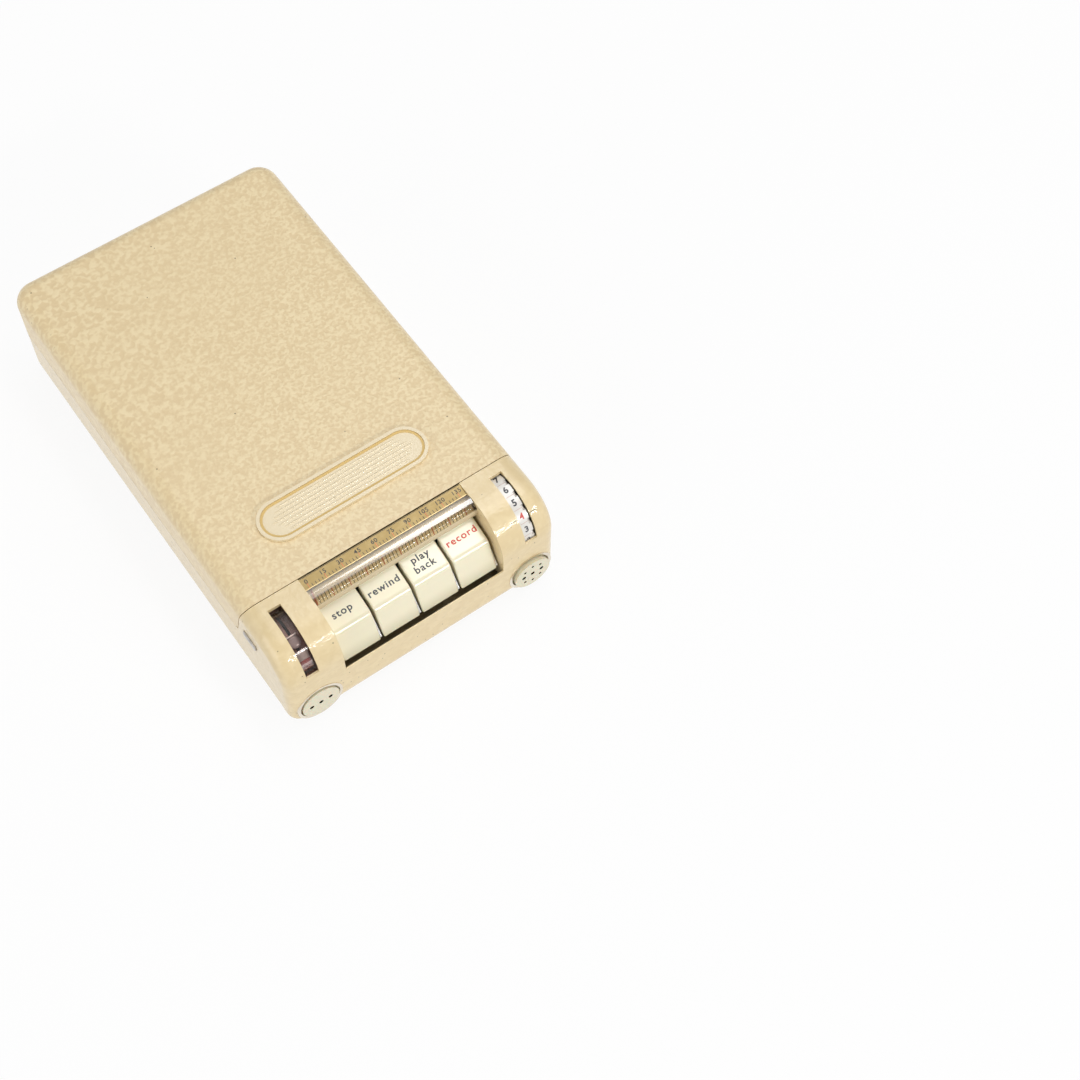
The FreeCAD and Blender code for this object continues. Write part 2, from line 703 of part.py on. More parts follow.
def key_springs():
    """Torsion coils on the key shaft, one beside each lever's hub."""
    coils = []
    room = KEY_WIDTH - LEVER_HUB - 1.5
    turns = int(room / (2 * SPRING_WIRE_R))
    for number in range(KEYS):
        start = key_left(number) + 0.8
        coils.append(coil(start, at(SHAFT_DEPTH), SHAFT_Z, SHAFT_R, SPRING_WIRE_R, turns, vec(1, 0, 0)))
    return group(coils)


def contact_stack():
    """Insulating block with eight leaf contacts under the levers."""
    half = KEY_OPENING / 2 - 3.0
    front = SHAFT_DEPTH - 16.0
    top = WALL + CONTACT_BASE
    base = box(-half, half, at(front), at(front + 7.0), WALL, top)
    leaves = []
    for number in range(KEYS):
        x = key_left(number) + (KEY_WIDTH - CONTACT_LEAF) / 2
        for depth in (front + 1.6, front + 4.6):
            leaves.append(box(x, x + CONTACT_LEAF, at(depth), at(depth + 0.4), top, SHAFT_Z - 9.6))
    return group([base] + leaves)


# Scale

def lens_axis():
    """Middle of the lens's flat, its half width, and the (depth, z) direction it faces."""
    middle = ((LENS_TOP[0] + LENS_FOOT[0]) / 2, (LENS_TOP[1] + LENS_FOOT[1]) / 2)
    across = (LENS_TOP[0] - LENS_FOOT[0], LENS_TOP[1] - LENS_FOOT[1])
    half = math.hypot(*across) / 2
    return middle, half, (-across[1] / (2 * half), across[0] / (2 * half))


def scale_lens():
    middle, half, facing = lens_axis()
    bar = cross(half, -KEY_OPENING / 2, KEY_OPENING / 2, at(middle[0]), middle[1])
    far = 2 * half
    back = [LENS_TOP, LENS_FOOT,
            (LENS_FOOT[0] - facing[0] * far, LENS_FOOT[1] - facing[1] * far),
            (LENS_TOP[0] - facing[0] * far, LENS_TOP[1] - facing[1] * far)]
    return bar.cut(side_plate(back, -WIDTH, WIDTH))


def behind_lens(point, gap):
    facing = lens_axis()[2]
    return point[0] - facing[0] * gap, point[1] - facing[1] * gap


def scale_plate():
    """Folded sheet: the printed strip, the strip behind the lens, and a tab at each end."""
    half = KEY_OPENING / 2
    bend = behind_lens(LENS_TOP, POINTER_GAP)
    foot = behind_lens(LENS_FOOT, POINTER_GAP)
    bend_under = behind_lens(LENS_TOP, POINTER_GAP + SCALE_SHEET)
    foot_under = behind_lens(LENS_FOOT, POINTER_GAP + SCALE_SHEET)
    edge = (LENS_TOP[0] + 0.1, LENS_TOP[1])
    lip = (edge[0], edge[1] - SCALE_SHEET / 2)
    back_under = (SCALE_BACK[0], SCALE_BACK[1] - SCALE_SHEET)
    sheet = side_plate([SCALE_BACK, edge, lip, bend, foot, foot_under,
                        (bend_under[0] + 0.1, bend_under[1] - 0.1), back_under], -half, half)
    tab = side_plate([bend_under, back_under, (back_under[0], foot[1]), foot_under],
                     half - SCALE_SHEET, half)
    plate = fuse([sheet, tab, mirrored(tab)])
    return plate.cut(cross(SCREW_R + RUNNING, -WIDTH, WIDTH, at(SCREW_DEPTH), SCREW_Z))


def pointer_screw():
    """Screw along the scale, with its thread as a row of round grooves."""
    half = KEY_OPENING / 2
    start = 1.5 - half
    grooves = []
    for number in range(int((half - start - SCREW_END) / SCREW_PITCH)):
        middle = vec(start + (number + 0.5) * SCREW_PITCH, at(SCREW_DEPTH), SCREW_Z)
        grooves.append(Part.makeTorus(SCREW_R + 0.1, SCREW_PITCH / 6, middle, vec(1, 0, 0)))
    return cross(SCREW_R, -half, half, at(SCREW_DEPTH), SCREW_Z).cut(group(grooves))


def scale_pointer():
    """Pointer: a nut on the screw, an arm under the strip's foot and a fine blade behind the lens."""
    x0 = POINTER_X - POINTER_THICK / 2
    x1 = POINTER_X + POINTER_THICK / 2
    facing = lens_axis()[2]
    up = (facing[1], -facing[0])

    def blade_point(corner, side, rise):
        """Point of the blade: beside the middle of its gap, and up from a corner of the lens."""
        gap = (POINTER_GAP + side * BLADE_THICK) / 2
        base = behind_lens(corner, gap)
        return base[0] + up[0] * rise, base[1] + up[1] * rise

    top = [blade_point(LENS_TOP, side, -0.5) for side in (-1, 1)]
    foot = [blade_point(LENS_FOOT, -1, -0.8), blade_point(LENS_FOOT, 1, -1.2)]
    blade = side_plate([top[0], foot[0], foot[1], top[1]], x0, x1)
    under = foot[1][1]
    reach = SCREW_DEPTH + 0.6
    inner = SCREW_DEPTH - 0.6
    high = SCREW_Z - NUT / 2 + 0.1
    arm = side_plate([foot[0], foot[1], (reach, under), (reach, high), (inner, high), (inner, under + 0.5),
                      (foot[1][0], under + 0.5)], x0, x1)
    y = at(SCREW_DEPTH)
    nut = box(POINTER_X - NUT_WIDTH / 2, POINTER_X + NUT_WIDTH / 2, y - NUT / 2, y + NUT / 2,
              SCREW_Z - NUT / 2, SCREW_Z + NUT / 2)
    nut = nut.cut(cross(SCREW_R + RUNNING, -WIDTH, WIDTH, y, SCREW_Z))
    return fuse([blade, arm, nut])


# Volume wheel and level meter

def volume_wheel():
    x0 = SLOT_X - WHEEL_WIDTH / 2
    x1 = SLOT_X + WHEEL_WIDTH / 2
    wheel = cross(WHEEL_R, x0, x1, NOSE_Y, NOSE_Z)
    notch_circle = WHEEL_R + 0.2
    for step in range(WHEEL_STEPS):
        angle = math.radians((step + 0.75) * 360.0 / WHEEL_STEPS)
        y = NOSE_Y - notch_circle * math.cos(angle)
        z = NOSE_Z + notch_circle * math.sin(angle)
        wheel = wheel.cut(cross(WHEEL_NOTCH_R, x1 - WHEEL_NOTCH, x1 + 1, y, z))
    wheel = wheel.cut(cross(WHEEL_R - WHEEL_RIM, x1 - 1.2, x1 + 1, NOSE_Y, NOSE_Z))
    hub = cross(WHEEL_SHAFT_R + 1.6, x1 - 1.4, x1, NOSE_Y, NOSE_Z)
    return fuse([wheel, hub]).cut(cross(WHEEL_SHAFT_R, -WIDTH, WIDTH, NOSE_Y, NOSE_Z))


def bracket_x():
    """Side of the right bracket that the volume control is fixed to."""
    return KEY_OPENING / 2 + CHEEK + APART + BRACKET_SHEET


def control_x():
    """Face of the volume control that the wheel turns beside."""
    return SLOT_X - METER_WIDTH / 2 - 2 * APART


def volume_shaft():
    x0 = bracket_x() + 1.0
    return cross(WHEEL_SHAFT_R, x0, SLOT_X + WHEEL_WIDTH / 2 + 0.3, NOSE_Y, NOSE_Z)


def volume_control():
    x0 = bracket_x()
    x1 = control_x()
    body = cross(CONTROL_R, x0, x1, NOSE_Y, NOSE_Z)
    bore = cross(WHEEL_SHAFT_R + RUNNING, x0 + 1.0, x1 + 1, NOSE_Y, NOSE_Z)
    low = NOSE_Z - CONTROL_R
    tags = []
    for side in (-1, 0, 1):
        y = NOSE_Y + side * CONTROL_R / 2
        tags.append(box(x1 - 2.4, x1 - 2.0, y - 0.8, y + 0.8, low - CONTROL_TAG, low + 2.0))
    return fuse([body] + tags).cut(bore)


def meter_sides():
    """(x0, x1) of the meter's drum."""
    return -SLOT_X - METER_WIDTH / 2, -SLOT_X + METER_WIDTH / 2


def window_room(foot_z):
    """Block over the part of the meter's drum that lies in the slot."""
    half = SLOT_WIDTH / 2 + WINDOW_EDGE
    return box(-SLOT_X - half, -SLOT_X + half, at(-1), at(SLOT_BACK + 1), foot_z, HEIGHT)


def meter_dial():
    """Arc inside the drum, slit along its middle."""
    x0, x1 = meter_sides()
    radius = WHEEL_R - METER_SKIN - DIAL_GAP
    dial = cross(radius, x0 + APART, x1 - APART, NOSE_Y, NOSE_Z)
    dial = dial.cut(cross(radius - DIAL_THICK, x0 - 1, x1 + 1, NOSE_Y, NOSE_Z))
    dial = dial.cut(box(x0 - 1, x1 + 1, NOSE_Y, NOSE_Y + NOSE_R, NOSE_Z - NOSE_R, NOSE_Z + 3))
    dial = dial.cut(box(x0 - 1, x1 + 1, NOSE_Y - NOSE_R, NOSE_Y + NOSE_R, NOSE_Z - NOSE_R, NOSE_Z - 3))
    return dial.cut(cross(radius + 1, -SLOT_X - 0.5, -SLOT_X + 0.5, NOSE_Y, NOSE_Z))


def meter_housing():
    """Drum with an open window along the slot and a pivot for the needle."""
    x0, x1 = meter_sides()
    drum = cross(WHEEL_R, x0, x1, NOSE_Y, NOSE_Z)
    drum = drum.cut(cross(WHEEL_R - METER_SKIN, x0 + METER_SIDE, x1 - METER_SIDE, NOSE_Y, NOSE_Z))
    drum = drum.cut(window_room(SLOT_FOOT_Z - 2))
    bearing = cross(NEEDLE_SHAFT_R + 1.4, x0, x0 + 1.6, NOSE_Y, NOSE_Z)
    drum = fuse([drum, meter_dial(), bearing])
    return drum.cut(cross(NEEDLE_SHAFT_R + RUNNING, x0 + 0.4, x1 + 1, NOSE_Y, NOSE_Z))


def meter_window():
    """Clear curved strip over the meter's opening."""
    x0, x1 = meter_sides()
    strip = cross(WHEEL_R, x0, x1, NOSE_Y, NOSE_Z)
    strip = strip.cut(cross(WHEEL_R - METER_SKIN + 0.2, -WIDTH, WIDTH, NOSE_Y, NOSE_Z))
    return strip.common(window_room(SLOT_FOOT_Z - 2))


def meter_needle():
    """Pivot shaft with a light arm, its tip bent over the dial, and a balancing tail."""
    x0, x1 = meter_sides()
    shaft = cross(NEEDLE_SHAFT_R, x0 + METER_SIDE, x1 - APART, NOSE_Y, NOSE_Z)
    tip_r = WHEEL_R - METER_SKIN - 1.0
    angle = math.radians(NEEDLE_REST)
    along = vec(0, -math.cos(angle), math.sin(angle))
    across = vec(NEEDLE_TIP, 0, 0)
    centre = vec(-SLOT_X, NOSE_Y, NOSE_Z)
    end = centre + along * (tip_r - NEEDLE_R)
    arm = rod(NEEDLE_R, centre, centre + along * tip_r)
    tip = rod(NEEDLE_R, end - across, end + across)
    tail = rod(3 * NEEDLE_R, centre, centre - along * 4.0)
    return fuse([shaft, arm, tip, tail])


def instrument_brackets():
    """Angle brackets that carry the volume control and the meter."""
    front = at(SOCKET_DEPTH + CONTACT_LENGTH + 0.8)
    back = at(SLOT_BACK + 1.0)
    foot_top = WALL + BRACKET_SHEET
    x0 = bracket_x() - BRACKET_SHEET
    right = fuse([box(x0, bracket_x(), front, back, WALL, BRACKET_TOP_Z),
                  box(x0, x0 + BRACKET_FOOT, front, back, WALL, foot_top)])
    face = meter_sides()[1]
    outer = face + BRACKET_SHEET
    left = fuse([box(face, outer, front, back, WALL, BRACKET_TOP_Z),
                 box(outer - BRACKET_FOOT, outer, front, back, WALL, foot_top)])
    left = left.cut(cross(NEEDLE_SHAFT_R + 0.6, face - 1, outer + 1, NOSE_Y, NOSE_Z))
    return group([left, right])


# Sockets

def forward_hole(radius, x, z, d0, d1):
    return rod(radius, vec(x, at(d0), z), vec(x, at(d1), z))


def socket_rings():
    rings = []
    for x in (-SOCKET_X, SOCKET_X):
        ring = forward_hole(RING_R, x, SOCKET_Z, -RING_PROUD, RING_DEPTH)
        rings.append(ring.cut(forward_hole(RING_R - RING_WALL, x, SOCKET_Z, -1, RING_DEPTH + 1)))
    return group(rings)


def socket_insert(x, proud, holes):
    """Moulded insert: a raised face, a thin flange inside the ring and a stub behind it."""
    face = forward_hole(SOCKET_R, x, SOCKET_Z, -proud, RING_DEPTH)
    flange = forward_hole(RING_R - RING_WALL, x, SOCKET_Z, RING_DEPTH - SOCKET_FLANGE, RING_DEPTH)
    stub = forward_hole(SOCKET_STUB_R, x, SOCKET_Z, RING_DEPTH, SOCKET_DEPTH)
    body = fuse([face, flange, stub])
    for hole_x, hole_z, radius in holes:
        body = body.cut(forward_hole(radius, x + hole_x, SOCKET_Z + hole_z, -proud - 1, SOCKET_DEPTH + 1))
    return body


def pin_holes():
    return [(side * PIN_PITCH, 0.0, PIN_HOLE_R) for side in (-1, 0, 1)]


def sound_holes():
    """Six small holes round the pin holes."""
    holes = []
    for degrees in (45, 90, 135, 225, 270, 315):
        angle = math.radians(degrees)
        x = SMALL_HOLE_CIRCLE_R * math.cos(angle)
        z = SMALL_HOLE_CIRCLE_R * math.sin(angle)
        holes.append((x, z, SMALL_HOLE_R))
    return holes


def socket_contacts():
    """Contacts behind both inserts, one closing each pin hole."""
    pins = []
    for x in (-SOCKET_X, SOCKET_X):
        for hole_x, hole_z, _ in pin_holes():
            pins.append(forward_hole(CONTACT_R, x + hole_x, SOCKET_Z + hole_z, SOCKET_DEPTH,
                                     SOCKET_DEPTH + CONTACT_LENGTH))
    return group(pins)


# Cover catches

def left_catch():
    """Springy lever: hub and pin at the back, a finger pad in the side slot and a hook nose."""
    outer = -CATCH_X
    inner = -CATCH_X + CATCH_SHEET
    low = CATCH_Z - CATCH_SLOT_HEIGHT / 2
    high = CATCH_Z + CATCH_SLOT_HEIGHT / 2
    foot = low - 0.8
    pad_half = CATCH_SLOT / 2 - CATCH_PAD_PLAY
    pad_front = at(CATCH_DEPTH - pad_half)
    arm = box(outer, inner, pad_front - 0.6, at(CATCH_PIVOT_DEPTH), foot, high)
    face = -WIDTH / 2 - CATCH_PAD_PROUD
    pad_back = at(CATCH_DEPTH + pad_half)
    pad = box(face, outer, pad_front, pad_back, low + CATCH_PAD_PLAY, high - CATCH_PAD_PLAY)
    pad = pad.makeFillet(CATCH_PAD_ROUND, [e for e in pad.Edges if e.CenterOfMass.x < face + 0.01])
    hook = at(CATCH_HOOK_DEPTH) - CATCH_HOOK / 2
    top = high + CATCH_HOOK_RISE
    post = box(outer, inner, hook - 0.2, hook + CATCH_HOOK + 0.2, high - 1, top)
    nose = box(0.5 + APART - INNER_X, outer, hook, hook + CATCH_HOOK, top - 1.4, top)
    hub = upright(CATCH_HUB_R, -CATCH_PIVOT_X, at(CATCH_PIVOT_DEPTH), foot, high)
    pin = upright(CATCH_PIN_R, -CATCH_PIVOT_X, at(CATCH_PIVOT_DEPTH), DECK_Z - 0.6, high + 1.0)
    return fuse([arm, pad, post, nose, hub, pin])


# Deck

def deck_holes():
    """(x, y, radius) of each round hole in the deck."""
    holes = [(side * SPOOL_X, SPOOL_Y, BUSH_R) for side in (-1, 1)]
    holes += [(side * POST_X, at(depth), SCREW_CORE_R) for side in (-1, 1) for depth in POST_DEPTHS]
    catch_y = at(CATCH_PIVOT_DEPTH)
    holes += [(side * CATCH_PIVOT_X, catch_y, CATCH_PIN_R + RUNNING) for side in (-1, 1)]
    holes.append((0, at(CAM_DEPTH), CAM_SHAFT_R + RUNNING))
    return holes


def deck_plate():
    half = DECK_WIDTH / 2
    plate = box(-half, half, at(DECK_FRONT), at(DECK_BACK), DECK_Z, DECK_TOP)
    for x, y, radius in deck_holes():
        plate = plate.cut(upright(radius, x, y, DECK_Z - 1, DECK_TOP + 1))
    return plate


def deck_posts():
    posts = []
    for side in (-1, 1):
        for depth in POST_DEPTHS:
            post = upright(POST_R, side * POST_X, at(depth), WALL, DECK_Z)
            foot = DECK_Z - SCREW_LENGTH - 0.5
            thread = upright(SCREW_CORE_R, side * POST_X, at(depth), foot, DECK_TOP)
            posts.append(post.cut(thread))
        posts.append(upright(GUIDE_R, side * GUIDE_X, at(HEAD_DEPTH), DECK_TOP, GUIDE_TOP_Z))
    return group(posts)


def deck_screws():
    screws = []
    for side in (-1, 1):
        for depth in POST_DEPTHS:
            x = side * POST_X
            y = at(depth)
            shank = upright(SCREW_CORE_R, x, y, DECK_Z - SCREW_LENGTH, DECK_TOP)
            head = upright(SCREW_HEAD_R, x, y, DECK_TOP, DECK_TOP + SCREW_HEAD)
            slot = box(x - SCREW_HEAD_R, x + SCREW_HEAD_R, y - SCREW_SLOT / 2, y + SCREW_SLOT / 2,
                       DECK_TOP + SCREW_HEAD / 2, DECK_TOP + 2 * SCREW_HEAD)
            screws.append(shank.fuse(head).cut(slot).removeSplitter())
    return group(screws)


def spindle_bushes():
    bushes = []
    bore = SPINDLE_R + RUNNING
    for side in (-1, 1):
        low = DECK_Z - BUSH_BELOW - BUSH_FLANGE
        points = [(bore, low), (BUSH_FLANGE_R, low), (BUSH_FLANGE_R, DECK_Z), (BUSH_R, DECK_Z),
                  (BUSH_R, DECK_TOP), (bore, DECK_TOP)]
        bushes.append(turned(points, side * SPOOL_X, SPOOL_Y))
    return group(bushes)


# Spools

def spool(side):
    """Wire spool: two flanges on a hub, bored for its spindle."""
    low = SPOOL_Z
    high = SPOOL_Z + SPOOL_HEIGHT
    bore = SPINDLE_R + SPOOL_FIT
    points = [
        (bore, low),
        (SPOOL_R, low),
        (SPOOL_R, low + SPOOL_FLANGE),
        (SPOOL_HUB_R, low + SPOOL_FLANGE),
        (SPOOL_HUB_R, high - SPOOL_FLANGE),
        (SPOOL_R, high - SPOOL_FLANGE),
        (SPOOL_R, high),
        (bore, high),
    ]
    body = turned(points, side * SPOOL_X, SPOOL_Y)
    for step in range(3):
        angle = math.radians(90 + 120 * step)
        reach = (SPOOL_HUB_R + SPINDLE_R) / 2 + 0.4
        x = side * SPOOL_X + reach * math.cos(angle)
        y = SPOOL_Y + reach * math.sin(angle)
        body = body.cut(upright(1.0, x, y, low - 1, high + 1))
    return body


def wire_pack(side, radius):
    """Wound wire on a spool's hub."""
    low = SPOOL_Z + SPOOL_FLANGE
    high = SPOOL_Z + SPOOL_HEIGHT - SPOOL_FLANGE
    points = [
        (SPOOL_HUB_R, low),
        (radius - APART, low),
        (radius, low + PACK_EDGE),
        (radius, high - PACK_EDGE),
        (radius - APART, high),
        (SPOOL_HUB_R, high),
    ]
    return turned(points, side * SPOOL_X, SPOOL_Y)


def grooved(radius, low):
    """Section points of a belt pulley's rim, upwards from its lower edge."""
    half = BELT_R + APART
    deep = radius - PULLEY_GROOVE
    return [
        (radius, low),
        (radius, PULLEY_MIDDLE_Z - half),
        (deep, PULLEY_MIDDLE_Z - half),
        (deep, PULLEY_MIDDLE_Z + half),
        (radius, PULLEY_MIDDLE_Z + half),
        (radius, PULLEY_Z + PULLEY_HEIGHT),
    ]


def spindle(side):
    """Spindle with its turntable above the deck and its belt pulley below."""
    table = DECK_TOP + APART
    high = SPOOL_Z + SPOOL_HEIGHT + 1.0
    tip = high + SPINDLE_TIP
    hub = SPINDLE_R + 1.0
    low = PULLEY_Z - 1.0
    points = [(0, low), (hub, low), (hub, PULLEY_Z)] + grooved(PULLEY_R, PULLEY_Z)
    points += [(SPINDLE_R, PULLEY_Z + PULLEY_HEIGHT), (SPINDLE_R, table)]
    points += [(TURNTABLE_R, table), (TURNTABLE_R, SPOOL_Z), (SPINDLE_R, SPOOL_Z)]
    points += [(SPINDLE_R, high), (SPINDLE_R - SPINDLE_TIP, tip), (0, tip)]
    return turned(points, side * SPOOL_X, SPOOL_Y)


# Motor and belt

def motor_case():
    bore = MOTOR_SHAFT_R + RUNNING
    inner = MOTOR_R - MOTOR_EDGE
    points = [
        (0, WALL),
        (inner, WALL),
        (MOTOR_R, WALL + MOTOR_EDGE),
        (MOTOR_R, MOTOR_TOP - MOTOR_EDGE),
        (inner, MOTOR_TOP),
        (bore, MOTOR_TOP),
        (bore, MOTOR_TOP - MOTOR_BORE),
        (0, MOTOR_TOP - MOTOR_BORE),
    ]
    return turned(points, MOTOR_X, at(MOTOR_DEPTH))


def motor_rotor():
    """Motor shaft with its governor disc and belt pulley."""
    low = MOTOR_TOP - MOTOR_BORE + 0.5
    disc = MOTOR_TOP + GOVERNOR_GAP
    neck = 2 * MOTOR_SHAFT_R
    points = [(0, low), (MOTOR_SHAFT_R, low), (MOTOR_SHAFT_R, disc), (GOVERNOR_R, disc)]
    points += [(GOVERNOR_R, disc + GOVERNOR), (neck, disc + GOVERNOR), (neck, PULLEY_Z)]
    points += grooved(MOTOR_PULLEY_R, PULLEY_Z) + [(0, PULLEY_Z + PULLEY_HEIGHT)]
    return turned(points, MOTOR_X, at(MOTOR_DEPTH))


def drive_belt():
    """Round belt round the motor pulley and the take-up pulley, held just clear of both grooves."""
    small = vec(MOTOR_X, at(MOTOR_DEPTH), PULLEY_MIDDLE_Z)
    large = vec(SPOOL_X, SPOOL_Y, PULLEY_MIDDLE_Z)
    clear = BELT_R + RUNNING
    small_r = MOTOR_PULLEY_R - PULLEY_GROOVE + clear
    large_r = PULLEY_R - PULLEY_GROOVE + clear
    run = large - small
    heading = math.atan2(run.y, run.x)
    lean = math.acos((small_r - large_r) / run.Length)

    def on(centre, radius, angle):
        return centre + vec(math.cos(angle), math.sin(angle), 0) * radius

    first = on(small, small_r, heading + lean)
    second = on(large, large_r, heading + lean)
    third = on(large, large_r, heading - lean)
    fourth = on(small, small_r, heading - lean)
    path = Part.Wire([
        Part.makeLine(first, second),
        Part.Arc(second, on(large, large_r, heading), third).toShape(),
        Part.makeLine(third, fourth),
        Part.Arc(fourth, on(small, small_r, heading + math.pi), first).toShape(),
    ])
    section = Part.Wire([Part.makeCircle(BELT_R, first, second - first)])
    return Part.makeSolid(path.makePipeShell([section], True, False))


# Head and level wind

def head_carriage():
    """Block on the two guide posts, with a follower pin that ends just short of the cam."""
    half = CARRIAGE_WIDTH / 2
    y = at(HEAD_DEPTH)
    top = CARRIAGE_Z + CARRIAGE
    block = box(-half, half, y - CARRIAGE_DEEP / 2, y + CARRIAGE_DEEP / 2, CARRIAGE_Z, top)
    middle = CARRIAGE_Z + CARRIAGE / 2
    pin = rod(FOLLOWER_R, vec(0, y, middle), vec(0, at(CAM_DEPTH) - CAM_R - APART, middle))
    block = fuse([block, pin])
    for side in (-1, 1):
        block = block.cut(upright(GUIDE_R + RUNNING, side * GUIDE_X, y, CARRIAGE_Z - 1, top + 1))
    return block


def recording_head():
    """Screened head block with a wire slot across its front."""
    half = HEAD_WIDTH / 2
    y = at(HEAD_DEPTH)
    low = CARRIAGE_Z + CARRIAGE
    front = y - HEAD_FRONT
    body = box(-half, half, front, front + HEAD_DEEP, low, low + HEAD_HEIGHT)
    rims = [e for e in body.Edges if abs(e.Vertexes[0].Z - e.Vertexes[-1].Z) > HEAD_HEIGHT - 0.01]
    body = body.makeFillet(HEAD_R, rims)
    side = half + ERASE_HEAD_GAP
    erase = box(side, side + ERASE_HEAD, front + 0.4, y - 0.6, low, low + HEAD_HEIGHT)
    strap = box(half - 0.5, side + ERASE_HEAD / 2, y - 1.4, y - 0.6, low, low + 0.8)
    slot = box(-WIDTH, WIDTH, front - 1, front + WIRE_SLOT, WIRE_Z - WIRE_SLOT_HEIGHT / 2,
               WIRE_Z + WIRE_SLOT_HEIGHT / 2)
    return fuse([body, strap, erase]).cut(slot)


def wire_line():
    """Corner points of the free wire from the supply pack past the head to the take-up pack."""
    front = at(HEAD_DEPTH) - HEAD_FRONT + WIRE_SLOT / 3
    corner = HEAD_WIDTH / 2 + WIRE_CORNER
    left = vec(-corner, front, WIRE_Z)
    right = vec(corner, front, WIRE_Z)

    def touch(start, centre, radius, turn):
        """Point where a line from start touches a circle."""
        run = centre - start
        angle = math.atan2(run.y, run.x) + turn * math.asin(radius / run.Length)
        length = math.sqrt(run.Length ** 2 - radius ** 2)
        return start + vec(math.cos(angle), math.sin(angle), 0) * length

    supply = touch(left, vec(-SPOOL_X, SPOOL_Y, WIRE_Z), SUPPLY_PACK_R + APART + WIRE_R, -1)
    take_up = touch(right, vec(SPOOL_X, SPOOL_Y, WIRE_Z), TAKE_UP_PACK_R + APART + WIRE_R, 1)
    return [supply, left, right, take_up]


def wire_run():
    points = wire_line()
    runs = [rod(WIRE_R, start, end) for start, end in zip(points, points[1:])]
    bends = [Part.makeSphere(WIRE_R, point) for point in points[1:-1]]
    return fuse(runs + bends)


def level_cam():
    """Barrel cam with a tilted ring groove, on a short shaft through the deck."""
    y = at(CAM_DEPTH)
    low = DECK_TOP + APART
    shaft = upright(CAM_SHAFT_R, 0, y, DECK_Z - 2.0, low)
    barrel = fuse([upright(CAM_R, 0, y, low, low + CAM_HEIGHT), shaft])
    middle = vec(0, y, CARRIAGE_Z + CARRIAGE / 2)
    tilt = math.radians(CAM_TILT)
    ring = Part.makeTorus(CAM_R + 0.1, CAM_GROOVE_R, middle, vec(math.sin(tilt), 0, math.cos(tilt)))
    return barrel.cut(ring)


# Amplifier

def circuit_board():
    return box(BOARD_X[0], BOARD_X[1], at(BOARD_DEPTHS[0]), at(BOARD_DEPTHS[1]), BOARD_Z, BOARD_TOP)


def amplifier_valves():
    """Three thin glass valves lying on the board."""
    valves = []
    gap = (BOARD_X[1] - BOARD_X[0] - 6 * VALVE_R) / 4
    start = at(BOARD_DEPTHS[0] + BOARD_EDGE)
    end = start + VALVE_LENGTH
    z = BOARD_TOP + VALVE_R
    for number in range(3):
        x = BOARD_X[0] + gap + VALVE_R + number * (2 * VALVE_R + gap)
        bulb = rod(VALVE_R, vec(x, start, z), vec(x, end, z))
        nose = [e for e in bulb.Edges if e.Closed and e.CenterOfMass.y < start + 0.01]
        bulb = bulb.makeFillet(VALVE_R * 0.7, nose)
        leads = [box(x + step - 0.2, x + step + 0.2, end, end + VALVE_LEAD, BOARD_TOP, z)
                 for step in (-2, 0, 2)]
        valves.append(fuse([bulb] + leads))
    return group(valves)


def capacitors():
    """Two rows of small upright capacitors behind the valves."""
    cans = []
    for number in range(4):
        x = BOARD_X[0] + 4.5 + number * CAPACITOR_PITCH
        for row in range(2):
            top = BOARD_TOP + CAPACITOR_HEIGHT - row
            can = upright(CAPACITOR_R, x, at(CAPACITOR_DEPTH + row * CAPACITOR_ROWS), BOARD_TOP, top)
            rim = [e for e in can.Edges if e.Closed and e.CenterOfMass.z > top - 0.01]
            cans.append(can.makeFillet(0.5, rim))
    return group(cans)


def output_transformer():
    """Laminated core with its winding round the middle limb."""
    x0 = BOARD_X[0] + 2 * BOARD_EDGE
    x1 = x0 + CORE_WIDTH
    front = at(BOARD_DEPTHS[1] - BOARD_EDGE - 1.0 - CORE_LENGTH)
    back = front + CORE_LENGTH
    low = BOARD_TOP + CORE_YOKE
    high = BOARD_TOP + CORE_HEIGHT - CORE_YOKE
    inner = (x0 + CORE_LIMB + CORE_WINDOW, x1 - CORE_LIMB - CORE_WINDOW)
    core = box(x0, x1, front, back, BOARD_TOP, BOARD_TOP + CORE_HEIGHT)
    for left, right in ((x0 + CORE_LIMB, inner[0]), (inner[1], x1 - CORE_LIMB)):
        core = core.cut(box(left, right, front - 1, back + 1, low, high))
    winding = box(x0 + CORE_LIMB, x1 - CORE_LIMB, front - WINDING, back + WINDING, low, high)
    return group([core, winding.cut(box(inner[0], inner[1], front, back, low, high))])


# Batteries

def battery_tray():
    half = TRAY_WIDTH / 2
    tray = box(-half, half, at(TRAY_FRONT), at(TRAY_BACK), TRAY_Z, TRAY_Z + TRAY_HEIGHT)
    inner = half - TRAY_WALL
    room = box(-inner, inner, at(TRAY_FRONT + TRAY_WALL), at(TRAY_BACK - TRAY_WALL), TRAY_Z + TRAY_WALL,
               TRAY_Z + TRAY_HEIGHT + 1)
    return tray.cut(room)


def cell_x(number):
    return (number - (CELLS - 1) / 2) * CELL_PITCH


def cell_z():
    return TRAY_Z + TRAY_WALL + CELL_R


def cell_front():
    """Depth of the cells' front ends."""
    return (TRAY_FRONT + TRAY_BACK - CELL_LENGTH) / 2


def dry_cells():
    cells = []
    front = cell_front()
    for number in range(CELLS):
        x = cell_x(number)
        body = forward_hole(CELL_R, x, cell_z(), front + CELL_CAP, front + CELL_LENGTH)
        cap = forward_hole(CELL_CAP_R, x, cell_z(), front, front + CELL_CAP)
        cells.append(body.fuse(cap))
    return group(cells)


